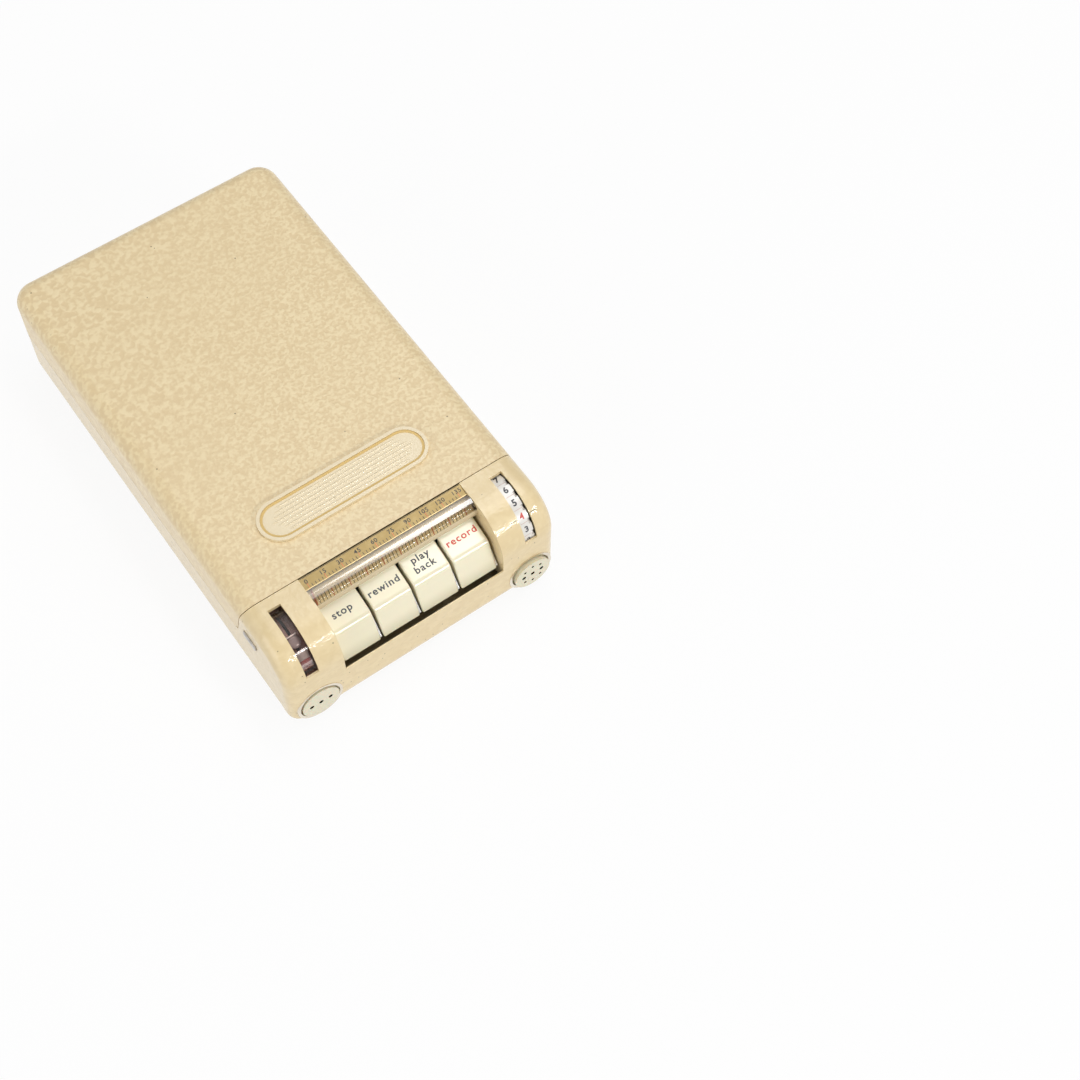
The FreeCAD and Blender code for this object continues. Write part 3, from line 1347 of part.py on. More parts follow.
def battery_contacts():
    """Flat contact strips in front of the cells and coil springs behind them."""
    pieces = []
    z = cell_z()
    front = TRAY_FRONT + TRAY_WALL
    back = cell_front() + CELL_LENGTH
    turns = 2
    wire_r = (TRAY_BACK - TRAY_WALL - back) / turns / 2
    for number in range(CELLS):
        x = cell_x(number)
        pieces.append(box(x - 4, x + 4, at(front), at(cell_front()), z - 4, z + 4))
        pieces.append(coil(x, at(back), z, 2.0, wire_r, turns, vec(0, 1, 0)))
    return group(pieces)


def anode_battery():
    """Flat high-tension battery with two snap studs, lying on the cells."""
    low = cell_z() + CELL_R
    top = low + ANODE_HEIGHT
    half = ANODE_WIDTH / 2
    y = at((TRAY_FRONT + TRAY_BACK) / 2)
    block = box(-half, half, y - ANODE_LENGTH / 2, y + ANODE_LENGTH / 2, low, top)
    upright_edges = [e for e in block.Edges if abs(e.Vertexes[0].Z - e.Vertexes[-1].Z) > 0.01]
    block = block.makeFillet(ANODE_R, upright_edges)
    studs = [upright(STUD_R, x, y, top, top + STUD) for x in (-STUD_X, STUD_X)]
    return fuse([block] + studs)


def build():
    os.makedirs("parts", exist_ok=True)
    outer = case_block(0)
    inner = case_block(WALL)
    save("lower_case", lower_case(outer, inner))
    save("top_cover", top_cover(outer, inner))
    save("cover_badge", cover_badge())
    save("hinge_pin", hinge_barrel(-HINGE_WIDTH / 2, HINGE_WIDTH / 2, HINGE_PIN_R))
    for number, name in enumerate(("stop", "rewind", "playback", "record")):
        save(name + "_key", key_cap(number))
        save(name + "_lever", key_lever(number))
    save("key_frame", key_frame())
    save("key_shaft", key_shaft())
    save("key_springs", key_springs())
    save("latch_bar", latch_bar())
    save("contact_stack", contact_stack())
    save("scale_plate", scale_plate())
    save("scale_lens", scale_lens())
    save("scale_pointer", scale_pointer())
    save("pointer_screw", pointer_screw())
    save("volume_wheel", volume_wheel())
    save("volume_shaft", volume_shaft())
    save("volume_control", volume_control())
    save("meter_housing", meter_housing())
    save("meter_window", meter_window())
    save("meter_needle", meter_needle())
    save("instrument_brackets", instrument_brackets())
    save("socket_rings", socket_rings())
    save("left_socket", socket_insert(-SOCKET_X, LEFT_SOCKET_PROUD, pin_holes()))
    save("right_socket", socket_insert(SOCKET_X, RIGHT_SOCKET_PROUD, pin_holes() + sound_holes()))
    save("socket_contacts", socket_contacts())
    save("left_catch", left_catch())
    save("right_catch", mirrored(left_catch()))
    save("deck_plate", deck_plate())
    save("deck_posts", deck_posts())
    save("deck_screws", deck_screws())
    save("spindle_bushes", spindle_bushes())
    save("supply_spool", spool(-1))
    save("take_up_spool", spool(1))
    save("supply_wire", wire_pack(-1, SUPPLY_PACK_R))
    save("take_up_wire", wire_pack(1, TAKE_UP_PACK_R))
    save("supply_spindle", spindle(-1))
    save("take_up_spindle", spindle(1))
    save("motor_case", motor_case())
    save("motor_rotor", motor_rotor())
    save("drive_belt", drive_belt())
    save("head_carriage", head_carriage())
    save("recording_head", recording_head())
    save("wire_run", wire_run())
    save("level_cam", level_cam())
    save("circuit_board", circuit_board())
    save("amplifier_valves", amplifier_valves())
    save("capacitors", capacitors())
    save("output_transformer", output_transformer())
    save("battery_tray", battery_tray())
    save("dry_cells", dry_cells())
    save("battery_contacts", battery_contacts())
    save("anode_battery", anode_battery())


build()
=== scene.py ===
"""Looks of a pocket wire recorder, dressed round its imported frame.

Everything is in metres in the frame's own axes: +X to the right, +Y to the back, +Z up. "Depth" is a
distance behind the front face of the case, and a place on the front is often given as (depth, height).
"""

import math

import bmesh
import bpy
import numpy as np
from mathutils import Matrix, Vector


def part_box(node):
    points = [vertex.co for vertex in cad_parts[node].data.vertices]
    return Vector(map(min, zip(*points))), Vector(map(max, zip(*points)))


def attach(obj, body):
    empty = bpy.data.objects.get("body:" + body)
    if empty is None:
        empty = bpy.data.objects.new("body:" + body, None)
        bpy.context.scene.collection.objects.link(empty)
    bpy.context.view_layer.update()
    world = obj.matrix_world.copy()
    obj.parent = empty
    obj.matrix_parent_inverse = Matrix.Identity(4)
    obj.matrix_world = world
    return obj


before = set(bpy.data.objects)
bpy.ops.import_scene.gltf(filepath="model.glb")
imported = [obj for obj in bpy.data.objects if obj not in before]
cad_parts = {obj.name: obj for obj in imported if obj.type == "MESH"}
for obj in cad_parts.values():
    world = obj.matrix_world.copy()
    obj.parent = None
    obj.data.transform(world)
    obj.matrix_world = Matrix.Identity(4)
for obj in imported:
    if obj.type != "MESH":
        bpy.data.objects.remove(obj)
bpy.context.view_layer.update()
MM = 0.001

# Places read from the frame
FRONT_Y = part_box("lower_case")[0][1]
COVER_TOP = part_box("top_cover")[1][2]
SCALE_LOW, SCALE_HIGH = (np.array(corner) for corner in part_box("scale_plate"))
WHEEL_LOW, WHEEL_HIGH = (np.array(corner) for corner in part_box("volume_wheel"))
METER_LOW, METER_HIGH = (np.array(corner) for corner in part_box("meter_housing"))
BADGE_LOW, BADGE_HIGH = (np.array(corner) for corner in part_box("cover_badge"))
METER_X = (METER_LOW[0] + METER_HIGH[0]) / 2
NOSE_Y, NOSE_Z = (WHEEL_LOW[1:] + WHEEL_HIGH[1:]) / 2       # axis of the wheel and of the front curve
WHEEL_R = (WHEEL_HIGH[2] - WHEEL_LOW[2]) / 2
NOSE_R = COVER_TOP - NOSE_Z
ALONG = np.array([1.0, 0.0, 0.0])                           # to the right, as all the printing runs

# Slopes of the front, as (depth, height) in mm
KEY_BACK = (14.9, 33.6)
KEY_RIDGE = (6.2, 31.0)
KEY_FOOT = (2.1, 20.2)
STRIP_BACK = (23.2, 40.8)
STRIP_EDGE = (19.1, 40.1)
BEHIND_LENS_TOP = (19.853, 39.577)
BEHIND_LENS_FOOT = (16.053, 33.377)
LENS_AXIS = (17.1, 37.0)

# Where a finish changes along an axis, as (none, full)
REAR_EDGE_Y = (0.0795, 0.0835)
LEFT_EDGE_X = (-0.0445, -0.0475)
REAR_LEFT_Y = (0.045, 0.070)
# Heights over which the keys' fronts take painted shade towards their feet
KEY_FRONT_SHADE_Z = (0.0250, 0.0205)
BATTERY_BAND_Z = (0.0288, 0.0289)
SILVERED_Y = (-0.024, -0.020)

# Printing
PRINT = 0.02 * MM                   # how far ink stands off what it is printed on
CAPITAL = 0.73                      # height of a capital at a font size of 1
LABEL_HEIGHT = 2.3 * MM
LABEL_LETTERS = (0.020, 1.16, 1.10)         # (extra weight, spacing, width)
LABELS = {                          # (word, shift to the right, distance up from the ridge) in mm
    "stop": (("stop", -0.7, 4.6),),
    "rewind": (("rewind", -0.2, 5.0),),
    "playback": (("play", 0.0, 6.7), ("back", -0.1, 3.8)),
    "record": (("record", 0.0, 5.7),),
}

# Scale: a mark is (middle up the slope from its foot, length, width)
SCALE_START = -27.3 * MM
SCALE_STEP = 6.01 * MM              # between two red marks
SCALE_MINUTES = 15                  # the same step in minutes
SCALE_MARKS = 10
MINOR_MARKS = 5                     # steps from one red mark to the next
MINUTE_MARK = (0.75 * MM, 1.05 * MM, 0.20 * MM)
QUARTER_MARK = (1.05 * MM, 1.70 * MM, 0.24 * MM)
LONG_MIDDLE = 1.85 * MM
LONG_LENGTH = 3.3 * MM
LONG_MINUTE_MARK = (LONG_MIDDLE, LONG_LENGTH, 0.26 * MM)
LONG_QUARTER_MARK = (LONG_MIDDLE, LONG_LENGTH, 0.40 * MM)
NUMERAL_HEIGHT = 1.45 * MM
NUMERAL_MIDDLE = 2.55 * MM
NUMERAL_LETTERS = (0.015, 1.12, 1.05)
BORDER_MIDDLE = 3.98 * MM
BORDER_WIDTH = 0.14 * MM
BORDER_SPARE = 0.6 * MM             # how much shorter it is than the strip

# Volume wheel, with angles up from straight ahead
WHEEL_STEP = math.radians(20.0)
WHEEL_FOUR = math.radians(45.5)     # place of the numeral at the index
WHEEL_NUMERALS = 11
WHEEL_DIVISIONS = 18
WHEEL_NUMERAL_HEIGHT = 2.15 * MM
WHEEL_NUMERAL_WEIGHT = 0.03
PRINT_ASIDE = -0.25 * MM            # from the middle of the rim
DIVISION_SPARE = 1.0 * MM           # how much shorter they are than the rim is wide
DIVISION_WIDTH = 0.14 * MM
BEND_STEP = 0.35 * MM               # between the cuts in a numeral that let it bend
INDEX_WIDTH = 0.16 * MM
INDEX_LINES = ((34.9, 37.4), (41.9, 44.4))      # X of both ends in mm

# Level meter, with angles up from straight ahead
FILM_R = WHEEL_R - 1.30 * MM
FILM_WIDTH = 3.6 * MM
FILM_WALL = 0.04 * MM
PALE_FIELD = (29, 45)               # from and to, in degrees
RED_FIELD = (10, 29)
DISC_ANGLE = math.radians(58)
DISC_BASE_R = WHEEL_R - 3.00 * MM
DISC_PROFILE = ((0.01, 0.55), (0.7, 0.52), (1.4, 0.40), (1.9, 0.18), (2.05, -0.1), (0.01, -0.1))    # in mm

# Rivets of the key levers
RIVET_R = 0.27 * MM
RIVET_FLAT = 0.005 * MM             # radius left open at the top of the dome
RIVET_INSET = 0.3 * MM              # from the right side of the lever
RIVETS = ((0.71, 1.10), (0.88, 0.62))       # (share of the way down, mm behind the keys' front)

# Badge
BADGE_RIM = 1.1 * MM
BADGE_SUNK = 0.45 * MM
GILT_PROFILE = ((-0.05, -0.1), (-0.05, 0.12), (-0.85, 0.12), (-0.85, -0.1))      # (outward, up) in mm
RIBS = 7
RIB_PITCH = 1.45 * MM
RIB_INSET = 3.0 * MM                # of the middle rib's ends from the gilt line
RIB_SHORTENING = 0.9                # at each end, per distance from the middle rib
RIB_HALF_WIDTH = 0.32 * MM
RIB_HEIGHT = 0.20 * MM
RIB_SEAT = 0.02 * MM

# Camera
CAMERA_PLACE = (-0.12769, -0.31467, 0.52757)
CAMERA_TURN = math.radians(-36.60)
CAMERA_RISE = math.radians(60.34)
CAMERA_ROLL = math.radians(1.12)
CAMERA_LENS = 62.10

# Surroundings
WORLD_LIGHT = 0.30                  # strength of the surroundings as light
GLOSSY_SHARE = 0.5                  # of the way from there to white, in mirror images
FLOOR_SHARE = 0.90                  # of plain white in the floor, where it is seen or mirrored
FLOOR_HALF = 3.0


# Meshes

def place(depth, height):
    """(y, z) in metres of a (depth, height) place in mm."""
    return FRONT_Y + depth * MM, height * MM


def add_piece(name, vertices, faces, body, slot, finish, smooth=False):
    """New piece of the object, with its place in its mesh."""
    mesh = bpy.data.meshes.new(name)
    mesh.from_pydata(np.asarray(vertices, dtype=float).reshape(-1, 3).tolist(), [], list(faces))
    mesh.validate()
    mesh.polygons.foreach_set("use_smooth", np.full(len(mesh.polygons), smooth))
    mesh.materials.append(finish)
    piece = bpy.data.objects.new(name, mesh)
    bpy.context.collection.objects.link(piece)
    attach(piece, body)
    return piece


def grid_faces(rows, columns, wrap_rows=False, wrap_columns=False):
    """Quads of a grid of points in rows and columns, each way open or closed on itself."""
    r = np.arange(rows if wrap_rows else rows - 1)[:, None]
    c = np.arange(columns if wrap_columns else columns - 1)[None, :]
    r_next = (r + 1) % rows
    c_next = (c + 1) % columns
    quads = np.stack(np.broadcast_arrays(r * columns + c, r * columns + c_next,
                                         r_next * columns + c_next, r_next * columns + c), axis=-1)
    return quads.reshape(-1, 4)


def slabs(centres, along, across, lift, length, width, height):
    """Thin bars: each one a box about its centre, with its length, width and height along three ways."""
    half = np.array([length, width, height]) / 2
    ways = np.stack([along, across, lift]) * half[:, None]
    signs = np.array([(-1, -1, -1), (1, -1, -1), (1, 1, -1), (-1, 1, -1),
                      (-1, -1, 1), (1, -1, 1), (1, 1, 1), (-1, 1, 1)])
    corners = np.asarray(centres)[:, None, :] + (signs @ ways)[None, :, :]
    box_faces = np.array([(0, 3, 2, 1), (4, 5, 6, 7), (0, 1, 5, 4),
                          (1, 2, 6, 5), (2, 3, 7, 6), (3, 0, 4, 7)])
    faces = box_faces[None] + 8 * np.arange(len(corners))[:, None, None]
    return corners.reshape(-1, 3), faces.reshape(-1, 4)


def turned(centre, axis, side, profile, count):
    """Round piece about an axis: each (radius, height) of the profile becomes a ring round the centre."""
    around = np.linspace(0, 2 * math.pi, count, endpoint=False)
    other = np.cross(axis, side)
    ring = np.cos(around)[:, None] * side + np.sin(around)[:, None] * other
    points = centre + profile[:, 0][:, None, None] * ring[None] + profile[:, 1][:, None, None] * axis
    return points.reshape(-1, 3), grid_faces(len(profile), count, wrap_columns=True)


def lettering(words, height, weight, spacing=1.0):
    """Flat words as vertices (x along the words, y up, z off the page) and faces, centred on the origin.

    The height is that of a capital or a numeral, and the weight thickens every stroke by that much.
    The ink is PRINT deep on both sides of the page."""
    curve = bpy.data.curves.new(words, "FONT")
    curve.body = words
    curve.align_x = "CENTER"
    curve.align_y = "CENTER"
    curve.size = 1.0
    curve.space_character = spacing
    curve.offset = weight
    curve.resolution_u = 5
    curve.extrude = 0.01
    holder = bpy.data.objects.new(words, curve)
    bpy.context.collection.objects.link(holder)
    bpy.context.view_layer.update()
    mesh = bpy.data.meshes.new_from_object(holder)
    bpy.data.objects.remove(holder)
    points = np.empty(3 * len(mesh.vertices))
    mesh.vertices.foreach_get("co", points)
    points = points.reshape(-1, 3)
    faces = [tuple(polygon.vertices) for polygon in mesh.polygons]
    points[:, :2] -= (points[:, :2].max(axis=0) + points[:, :2].min(axis=0)) / 2
    points *= height / CAPITAL
    points[:, 2] = np.where(points[:, 2] > 0, PRINT, -PRINT)
    return points, faces


def flat_words(words, height, centre, up, weight, spacing, widen):
    """Words laid on a slope: x runs to the right, y runs up the slope, and the ink stands off by PRINT."""
    points, faces = lettering(words, height, weight, spacing)
    across, rise, lift = points.T[:, :, None]
    placed = centre + across * widen * ALONG + rise * up + lift * np.cross(ALONG, up)
    return placed, faces


def joined(parts):
    """One list of vertices and one of faces from several such pairs."""
    vertices = np.concatenate([part[0] for part in parts])
    starts = np.cumsum([0] + [len(part[0]) for part in parts[:-1]])
    faces = []
    for part, start in zip(parts, starts):
        faces += [tuple(int(i) + int(start) for i in face) for face in part[1]]
    return vertices, faces


# Materials

class Finish:
    """A material being mixed: its shader, and short calls for the nodes that feed it."""

    def __init__(self, name, **sockets):
        self.material = bpy.data.materials.new(name)
        self.material.use_nodes = True
        self.tree = self.material.node_tree
        self.shader = self.tree.nodes["Principled BSDF"]
        self.output = self.tree.nodes["Material Output"]
        self.set(**sockets)

    def set(self, **sockets):
        """Sets or links sockets of the shader, named with underscores for spaces."""
        for name, value in sockets.items():
            self.feed(self.shader.inputs[name.replace("_", " ")], value)

    def feed(self, socket, value):
        """Links another node's output to a socket, or gives it a value."""
        if isinstance(value, bpy.types.NodeSocket):
            self.tree.links.new(value, socket)
        elif isinstance(value, tuple) and len(value) == 3 and socket.type == "RGBA":
            socket.default_value = (*value, 1.0)
        else:
            socket.default_value = value

    def node(self, kind, settings=None, **sockets):
        """New node of a kind, with its settings and with values or links for its sockets."""
        node = self.tree.nodes.new("ShaderNode" + kind)
        for name, value in (settings or {}).items():
            setattr(node, name, value)
        for name, value in sockets.items():
            self.feed(node.inputs[name.replace("_", " ")], value)
        return node

    def fed(self, node, numbers, *values):
        """The same node, with values or links for its numbered sockets."""
        for number, value in zip(numbers, values):
            self.feed(node.inputs[number], value)
        return node

    def show(self, shader):
        """Makes a shader the one that the material shows."""
        self.tree.links.new(shader, self.output.inputs["Surface"])

    def coordinates(self, stretch=(1, 1, 1)):
        """Object coordinates, stretched."""
        source = self.node("TexCoord").outputs["Object"]
        return self.node("Mapping", Vector=source, Scale=stretch).outputs["Vector"]

    def axis(self, letter):
        """One of the X, Y and Z object coordinates."""
        source = self.node("TexCoord").outputs["Object"]
        return self.node("SeparateXYZ", Vector=source).outputs[letter]

    def noise(self, size, detail=2.0, rough=0.5, bend=0.0, at=None):
        """Cloudy pattern, 0 to 1, whose patches are about size across."""
        where = at or self.coordinates()
        return self.node("TexNoise", Vector=where, Scale=1 / size, Detail=detail, Roughness=rough,
                         Distortion=bend).outputs["Fac"]

    def dots(self, spacing, radius, share):
        """1 inside small round dots, one in some cells of that spacing, 0 elsewhere."""
        cells = self.node("TexVoronoi", Vector=self.coordinates(), Scale=1 / spacing)
        inside = self.level(cells.outputs["Distance"], radius / spacing, 0.6 * radius / spacing)
        pick = self.node("SeparateColor", Color=cells.outputs["Color"]).outputs["Red"]
        return self.maths("MULTIPLY", inside, self.level(pick, 1 - share, 1 - share + 0.02))

    def level(self, value, low, high):
        """0 below low and 1 above high with a soft step between, or the reverse if low is larger."""
        return self.node("MapRange", {"interpolation_type": "SMOOTHSTEP"}, Value=value, From_Min=low,
                         From_Max=high).outputs["Result"]

    def maths(self, operation, first, second=0.0):
        """Result of a sum on one or two values."""
        node = self.node("Math", {"operation": operation})
        return self.fed(node, (0, 1), first, second).outputs[0]

    def mix(self, amount, first, second):
        """Colour that goes from first to second as amount goes from 0 to 1."""
        node = self.node("Mix", {"data_type": "RGBA"})
        return self.fed(node, (0, 6, 7), amount, first, second).outputs[2]

    def fade(self, amount, first, second):
        """Value that goes from first to second as amount goes from 0 to 1."""
        node = self.node("Mix", {"data_type": "FLOAT"})
        return self.fed(node, (0, 2, 3), amount, first, second).outputs[0]

    def blend(self, amount, first, second):
        """Shader that goes from first to second as amount goes from 0 to 1."""
        return self.fed(self.node("MixShader"), (0, 1, 2), amount, first, second).outputs[0]

    def laid_over(self, colour, amount, share, other):
        """Colour with another over it, by a share of an amount."""
        return self.mix(self.maths("MULTIPLY", amount, share), colour, other)

    def angle_about(self, y, z):
        """Angle up from straight ahead, round a line along X through that y and z."""
        ahead = self.maths("SUBTRACT", float(y), self.axis("Y"))
        above = self.maths("SUBTRACT", self.axis("Z"), float(z))
        return self.maths("ARCTAN2", above, ahead)

    def relief(self, height, depth, under=None):
        """Surface normal of a height pattern that is depth metres high."""
        node = self.node("Bump", Height=height, Distance=depth, Strength=1.0)
        if under:
            self.feed(node.inputs["Normal"], under)
        return node.outputs["Normal"]

    def spread(self, value, low, high):
        """Value from 0 to 1 as a number between low and high."""
        return self.node("MapRange", Value=value, To_Min=low, To_Max=high).outputs["Result"]


# Enamel colours
TAN = (0.752, 0.586, 0.336)
PALE_TAN = (0.856, 0.706, 0.432)
ENAMEL = (0.788, 0.634, 0.376)
SPECK = (0.120, 0.080, 0.045)
DIRT = (0.430, 0.310, 0.170)


def hammer_enamel():
    """Cream hammer enamel of the cover: pale worm-like blobs in tan, finer towards the front right."""
    mix = Finish("cream_hammer_enamel", Roughness=0.42, Coat_Weight=0.25, Coat_Roughness=0.22)
    coarse = mix.noise(1.6 * MM, 0.6, 0.45, 0.5)
    fine = mix.noise(1.15 * MM, 0.6, 0.45, 0.5)
    across = mix.maths("ADD", mix.axis("X"), mix.maths("MULTIPLY", mix.axis("Y"), -0.6))
    toward = mix.level(across, -0.075, 0.02)        # 0 at the rear left, 1 at the front right
    pattern = mix.fade(toward, coarse, fine)
    blobs = mix.level(pattern, 0.37, 0.67)
    drift = mix.noise(34 * MM, 1.0)
    colour = mix.mix(blobs, TAN, PALE_TAN)
    colour = mix.laid_over(colour, mix.level(drift, 0.35, 0.75), 0.20, ENAMEL)
    specks = mix.dots(6 * MM, 0.32 * MM, 0.40)
    colour = mix.laid_over(colour, specks, 0.75, SPECK)
    mix.set(Base_Color=mix.laid_over(colour, edge_chips(mix), 0.8, DIRT))
    mix.set(Normal=mix.relief(pattern, 0.18 * MM, mix.relief(mix.noise(0.9 * MM), 0.012 * MM)))
    return mix.material


def edge_chips(mix):
    """Small chips, only along the rear edge and the rear left corner."""
    rear = mix.level(mix.axis("Y"), *REAR_EDGE_Y)
    left = mix.level(mix.axis("X"), *LEFT_EDGE_X)
    left = mix.maths("MULTIPLY", left, mix.level(mix.axis("Y"), *REAR_LEFT_Y))
    band = mix.maths("MAXIMUM", rear, left)
    chips = mix.level(mix.noise(1.6 * MM, 3.0, 0.6), 0.66, 0.70)
    return mix.maths("MULTIPLY", band, chips)


def smooth_enamel():
    """Cream enamel of the lower case: smoother and glossier than the cover's, and faintly mottled."""
    mix = Finish("cream_smooth_enamel", Roughness=0.50, Coat_Weight=0.65, Coat_Roughness=0.03)
    mottle = mix.level(mix.noise(2.8 * MM, 1.6, 0.5, 0.6), 0.36, 0.72)
    colour = mix.mix(mottle, (0.760, 0.601, 0.334), (0.806, 0.650, 0.378))
    specks = mix.dots(3 * MM, 0.30 * MM, 0.50)
    colour = mix.laid_over(colour, specks, 0.7, SPECK)
    grime = mix.level(mix.noise(9 * MM, 3.0, 0.65), 0.62, 0.80)
    mix.set(Base_Color=mix.laid_over(colour, grime, 0.25, DIRT))
    peel = mix.relief(mix.noise(1.6 * MM, 2.0, 0.55), 0.17 * MM)
    mix.set(Coat_Normal=peel, Normal=mix.relief(mottle, 0.01 * MM))
    return mix.material


def ivory(name, disc=None):
    """Ivory plastic, with painted shade that makes it browner low down, and painted shade dark in the holes
    of a disc if its two corners are given.
    """
    mix = Finish(name, Roughness=0.22, Coat_Weight=0.9, Coat_Roughness=0.05)
    cloud = mix.noise(14 * MM, 2.0)
    colour = mix.mix(cloud, (0.855, 0.785, 0.560), (0.890, 0.830, 0.625))
    grime = mix.level(mix.noise(1.3 * MM, 3.0, 0.6), 0.66, 0.82)
    colour = mix.laid_over(colour, grime, 0.12, DIRT)
    # Painted shade: the keys' fronts darken towards their feet, where they turn down away from the light.
    painted_foot_shade = mix.level(mix.axis("Z"), *KEY_FRONT_SHADE_Z)
    colour = mix.laid_over(colour, painted_foot_shade, 0.5, (0.56, 0.50, 0.31))
    # Painted shade: near black inside the holes of the socket's disc, just behind its face.
    if disc:
        low, high = (np.array(corner) for corner in disc)
        middle = (low + high) / 2
        aside = mix.maths("SUBTRACT", mix.maths("ABSOLUTE", mix.axis("X")), float(abs(middle[0])))
        above = mix.maths("SUBTRACT", mix.axis("Z"), float(middle[2]))
        squares = mix.maths("MULTIPLY", aside, aside), mix.maths("MULTIPLY", above, above)
        from_middle = mix.maths("SQRT", mix.maths("ADD", *squares))
        radius = float(high[0] - low[0]) / 2
        inside = mix.level(from_middle, radius - 1.2 * MM, radius - 1.6 * MM)
        behind = mix.level(mix.axis("Y"), float(low[1]) + 0.02 * MM, float(low[1]) + 0.12 * MM)
        colour = mix.mix(mix.maths("MULTIPLY", inside, behind), colour, (0.030, 0.022, 0.016))
    mix.set(Base_Color=colour)
    mix.set(Subsurface_Weight=0.12, Subsurface_Scale=1.2 * MM)
    mix.set(Coat_Normal=mix.relief(mix.noise(3.5 * MM, 1.0), 0.008 * MM))
    return mix.material


def plain_moulding(name, colour, other, roughness, coat=0.3):
    """Moulded plastic with a faint cloud of a second colour and a fine skin."""
    mix = Finish(name, Roughness=roughness, Coat_Weight=coat, Coat_Roughness=0.12)
    mix.set(Base_Color=mix.mix(mix.noise(2.2 * MM, 3.0), colour, other))
    mix.set(Normal=mix.relief(mix.noise(0.35 * MM, 2.0), 0.006 * MM))
    return mix.material


def metal(name, colour, tint, roughness, direction="X", lines=0.10, stains=None):
    """Brushed or plated metal: fine lines across a direction, uneven shine and a second tint."""
    mix = Finish(name, Metallic=1.0)
    stretch = {"X": (1, 40, 40), "Y": (40, 1, 40), "Z": (40, 40, 1)}[direction]
    brushed = mix.noise(6 * MM, 3.0, 0.6, 0.0, mix.coordinates(stretch))
    cloud = mix.level(mix.noise(3.5 * MM, 3.0), 0.35, 0.75)
    shade = mix.mix(cloud, colour, tint)
    if stains:
        spots = mix.level(mix.noise(1.1 * MM, 4.0, 0.65), 0.60, 0.72)
        shade = mix.laid_over(shade, spots, 0.55, stains)
    mix.set(Base_Color=shade)
    mix.set(Roughness=mix.spread(brushed, roughness, roughness + lines))
    mix.set(Normal=mix.relief(brushed, 0.004 * MM))
    return mix.material


def gold_sheet():
    """Satin gold lacquered strip, slightly worn along its length, and pale on the slope before it as
    painted light where that slope lies in shade.
    """
    mix = Finish("gold_lacquered_sheet", Metallic=0.45)
    grain = mix.noise(8 * MM, 3.0, 0.6, 0.0, mix.coordinates((1, 30, 30)))
    wear = mix.level(mix.noise(4 * MM, 3.0, 0.6), 0.40, 0.75)
    colour = mix.mix(wear, (0.300, 0.212, 0.076), (0.360, 0.268, 0.112))
    colour = mix.laid_over(colour, grain, 0.35, (0.235, 0.162, 0.058))
    edge_y = float(place(*STRIP_EDGE)[0])
    # Painted light: the slope in front of the strip's edge, in shade behind the lens, is made pale.
    painted_light_on_slope = mix.level(mix.axis("Y"), edge_y + 0.3 * MM, edge_y)
    mix.set(Base_Color=mix.mix(painted_light_on_slope, colour, (0.900, 0.720, 0.390)))
    mix.set(Roughness=mix.spread(grain, 0.26, 0.42), Normal=mix.relief(grain, 0.004 * MM))
    return mix.material


def clear_moulding(name, tint, shine, crown=None):
    """Clear plastic: what lies behind it shows unbent, under the mirror image of the surroundings.

    With a crown, the (depth, height) of its axis, only the upper part of the round is polished
    and its foot is cloudy where it sits in its seat."""
    mix = Finish(name, Base_Color=(1.0, 1.0, 1.0), Metallic=1.0)
    mix.set(Roughness=mix.spread(mix.noise(3 * MM, 3.0), 0.07, 0.10))
    behind = mix.node("BsdfTransparent", Color=tint).outputs[0]
    mirror = mix.maths("MULTIPLY", mix.node("Fresnel", IOR=1.49).outputs["Fac"], shine)
    if crown:
        angle = mix.angle_about(*place(*crown))
        polish = mix.level(angle, math.radians(52), math.radians(68))
        mirror = mix.maths("MULTIPLY", mirror, mix.spread(polish, 0.12, 1.0))
        foot = mix.maths("MULTIPLY", mix.level(angle, math.radians(29), math.radians(19)),
                         mix.level(angle, math.radians(-40), math.radians(-20)))
        cloudy = mix.node("BsdfDiffuse", Color=(0.66, 0.55, 0.36)).outputs[0]
        behind = mix.blend(foot, behind, cloudy)
    mix.show(mix.blend(mix.maths("MINIMUM", mirror, 1.0), behind, mix.shader.outputs[0]))
    return mix.material


def wound_wire():
    """Pack of fine bright wire: close turns one above the other, crossed by a slow lay."""
    mix = Finish("wound_wire", Metallic=1.0)
    turns = mix.node("TexWave", {"bands_direction": "Z"}, Vector=mix.coordinates(), Scale=160.0,
                     Distortion=1.2, Detail=2.0, Detail_Scale=3.0).outputs["Fac"]
    lay = mix.noise(3 * MM, 3.0, 0.6)
    mix.set(Base_Color=mix.mix(lay, (0.42, 0.41, 0.40), (0.66, 0.65, 0.63)))
    mix.set(Roughness=mix.spread(turns, 0.25, 0.45), Normal=mix.relief(turns, 0.05 * MM))
    return mix.material


def ink(name, colour, patchy=0.25):
    """Printed or engraved and filled colour, a little worn."""
    mix = Finish(name, Roughness=0.45)
    worn = mix.level(mix.noise(0.5 * MM, 2.0), 0.45, 0.85)
    paler = tuple(0.65 * part + 0.18 for part in colour)
    mix.set(Base_Color=mix.laid_over(colour, worn, patchy, paler))
    return mix.material


def meter_inside():
    """Brown dial of the level meter, paler half way down its curve and black at the foot."""
    mix = Finish("brown_dial", Roughness=0.38, Coat_Weight=0.4, Coat_Roughness=0.15)
    angle = mix.angle_about(NOSE_Y, NOSE_Z)
    paler = mix.level(angle, math.radians(96), math.radians(68))
    foot = mix.level(angle, math.radians(-16), math.radians(-8))
    cloud = mix.noise(1.2 * MM, 3.0)
    brown = mix.mix(cloud, (0.150, 0.066, 0.038), (0.250, 0.120, 0.072))
    colour = mix.mix(paler, brown, mix.mix(cloud, (0.400, 0.240, 0.210), (0.520, 0.330, 0.300)))
    mix.set(Base_Color=mix.mix(foot, (0.018, 0.012, 0.010), colour))
    mix.set(Normal=mix.relief(cloud, 0.01 * MM))
    return mix.material


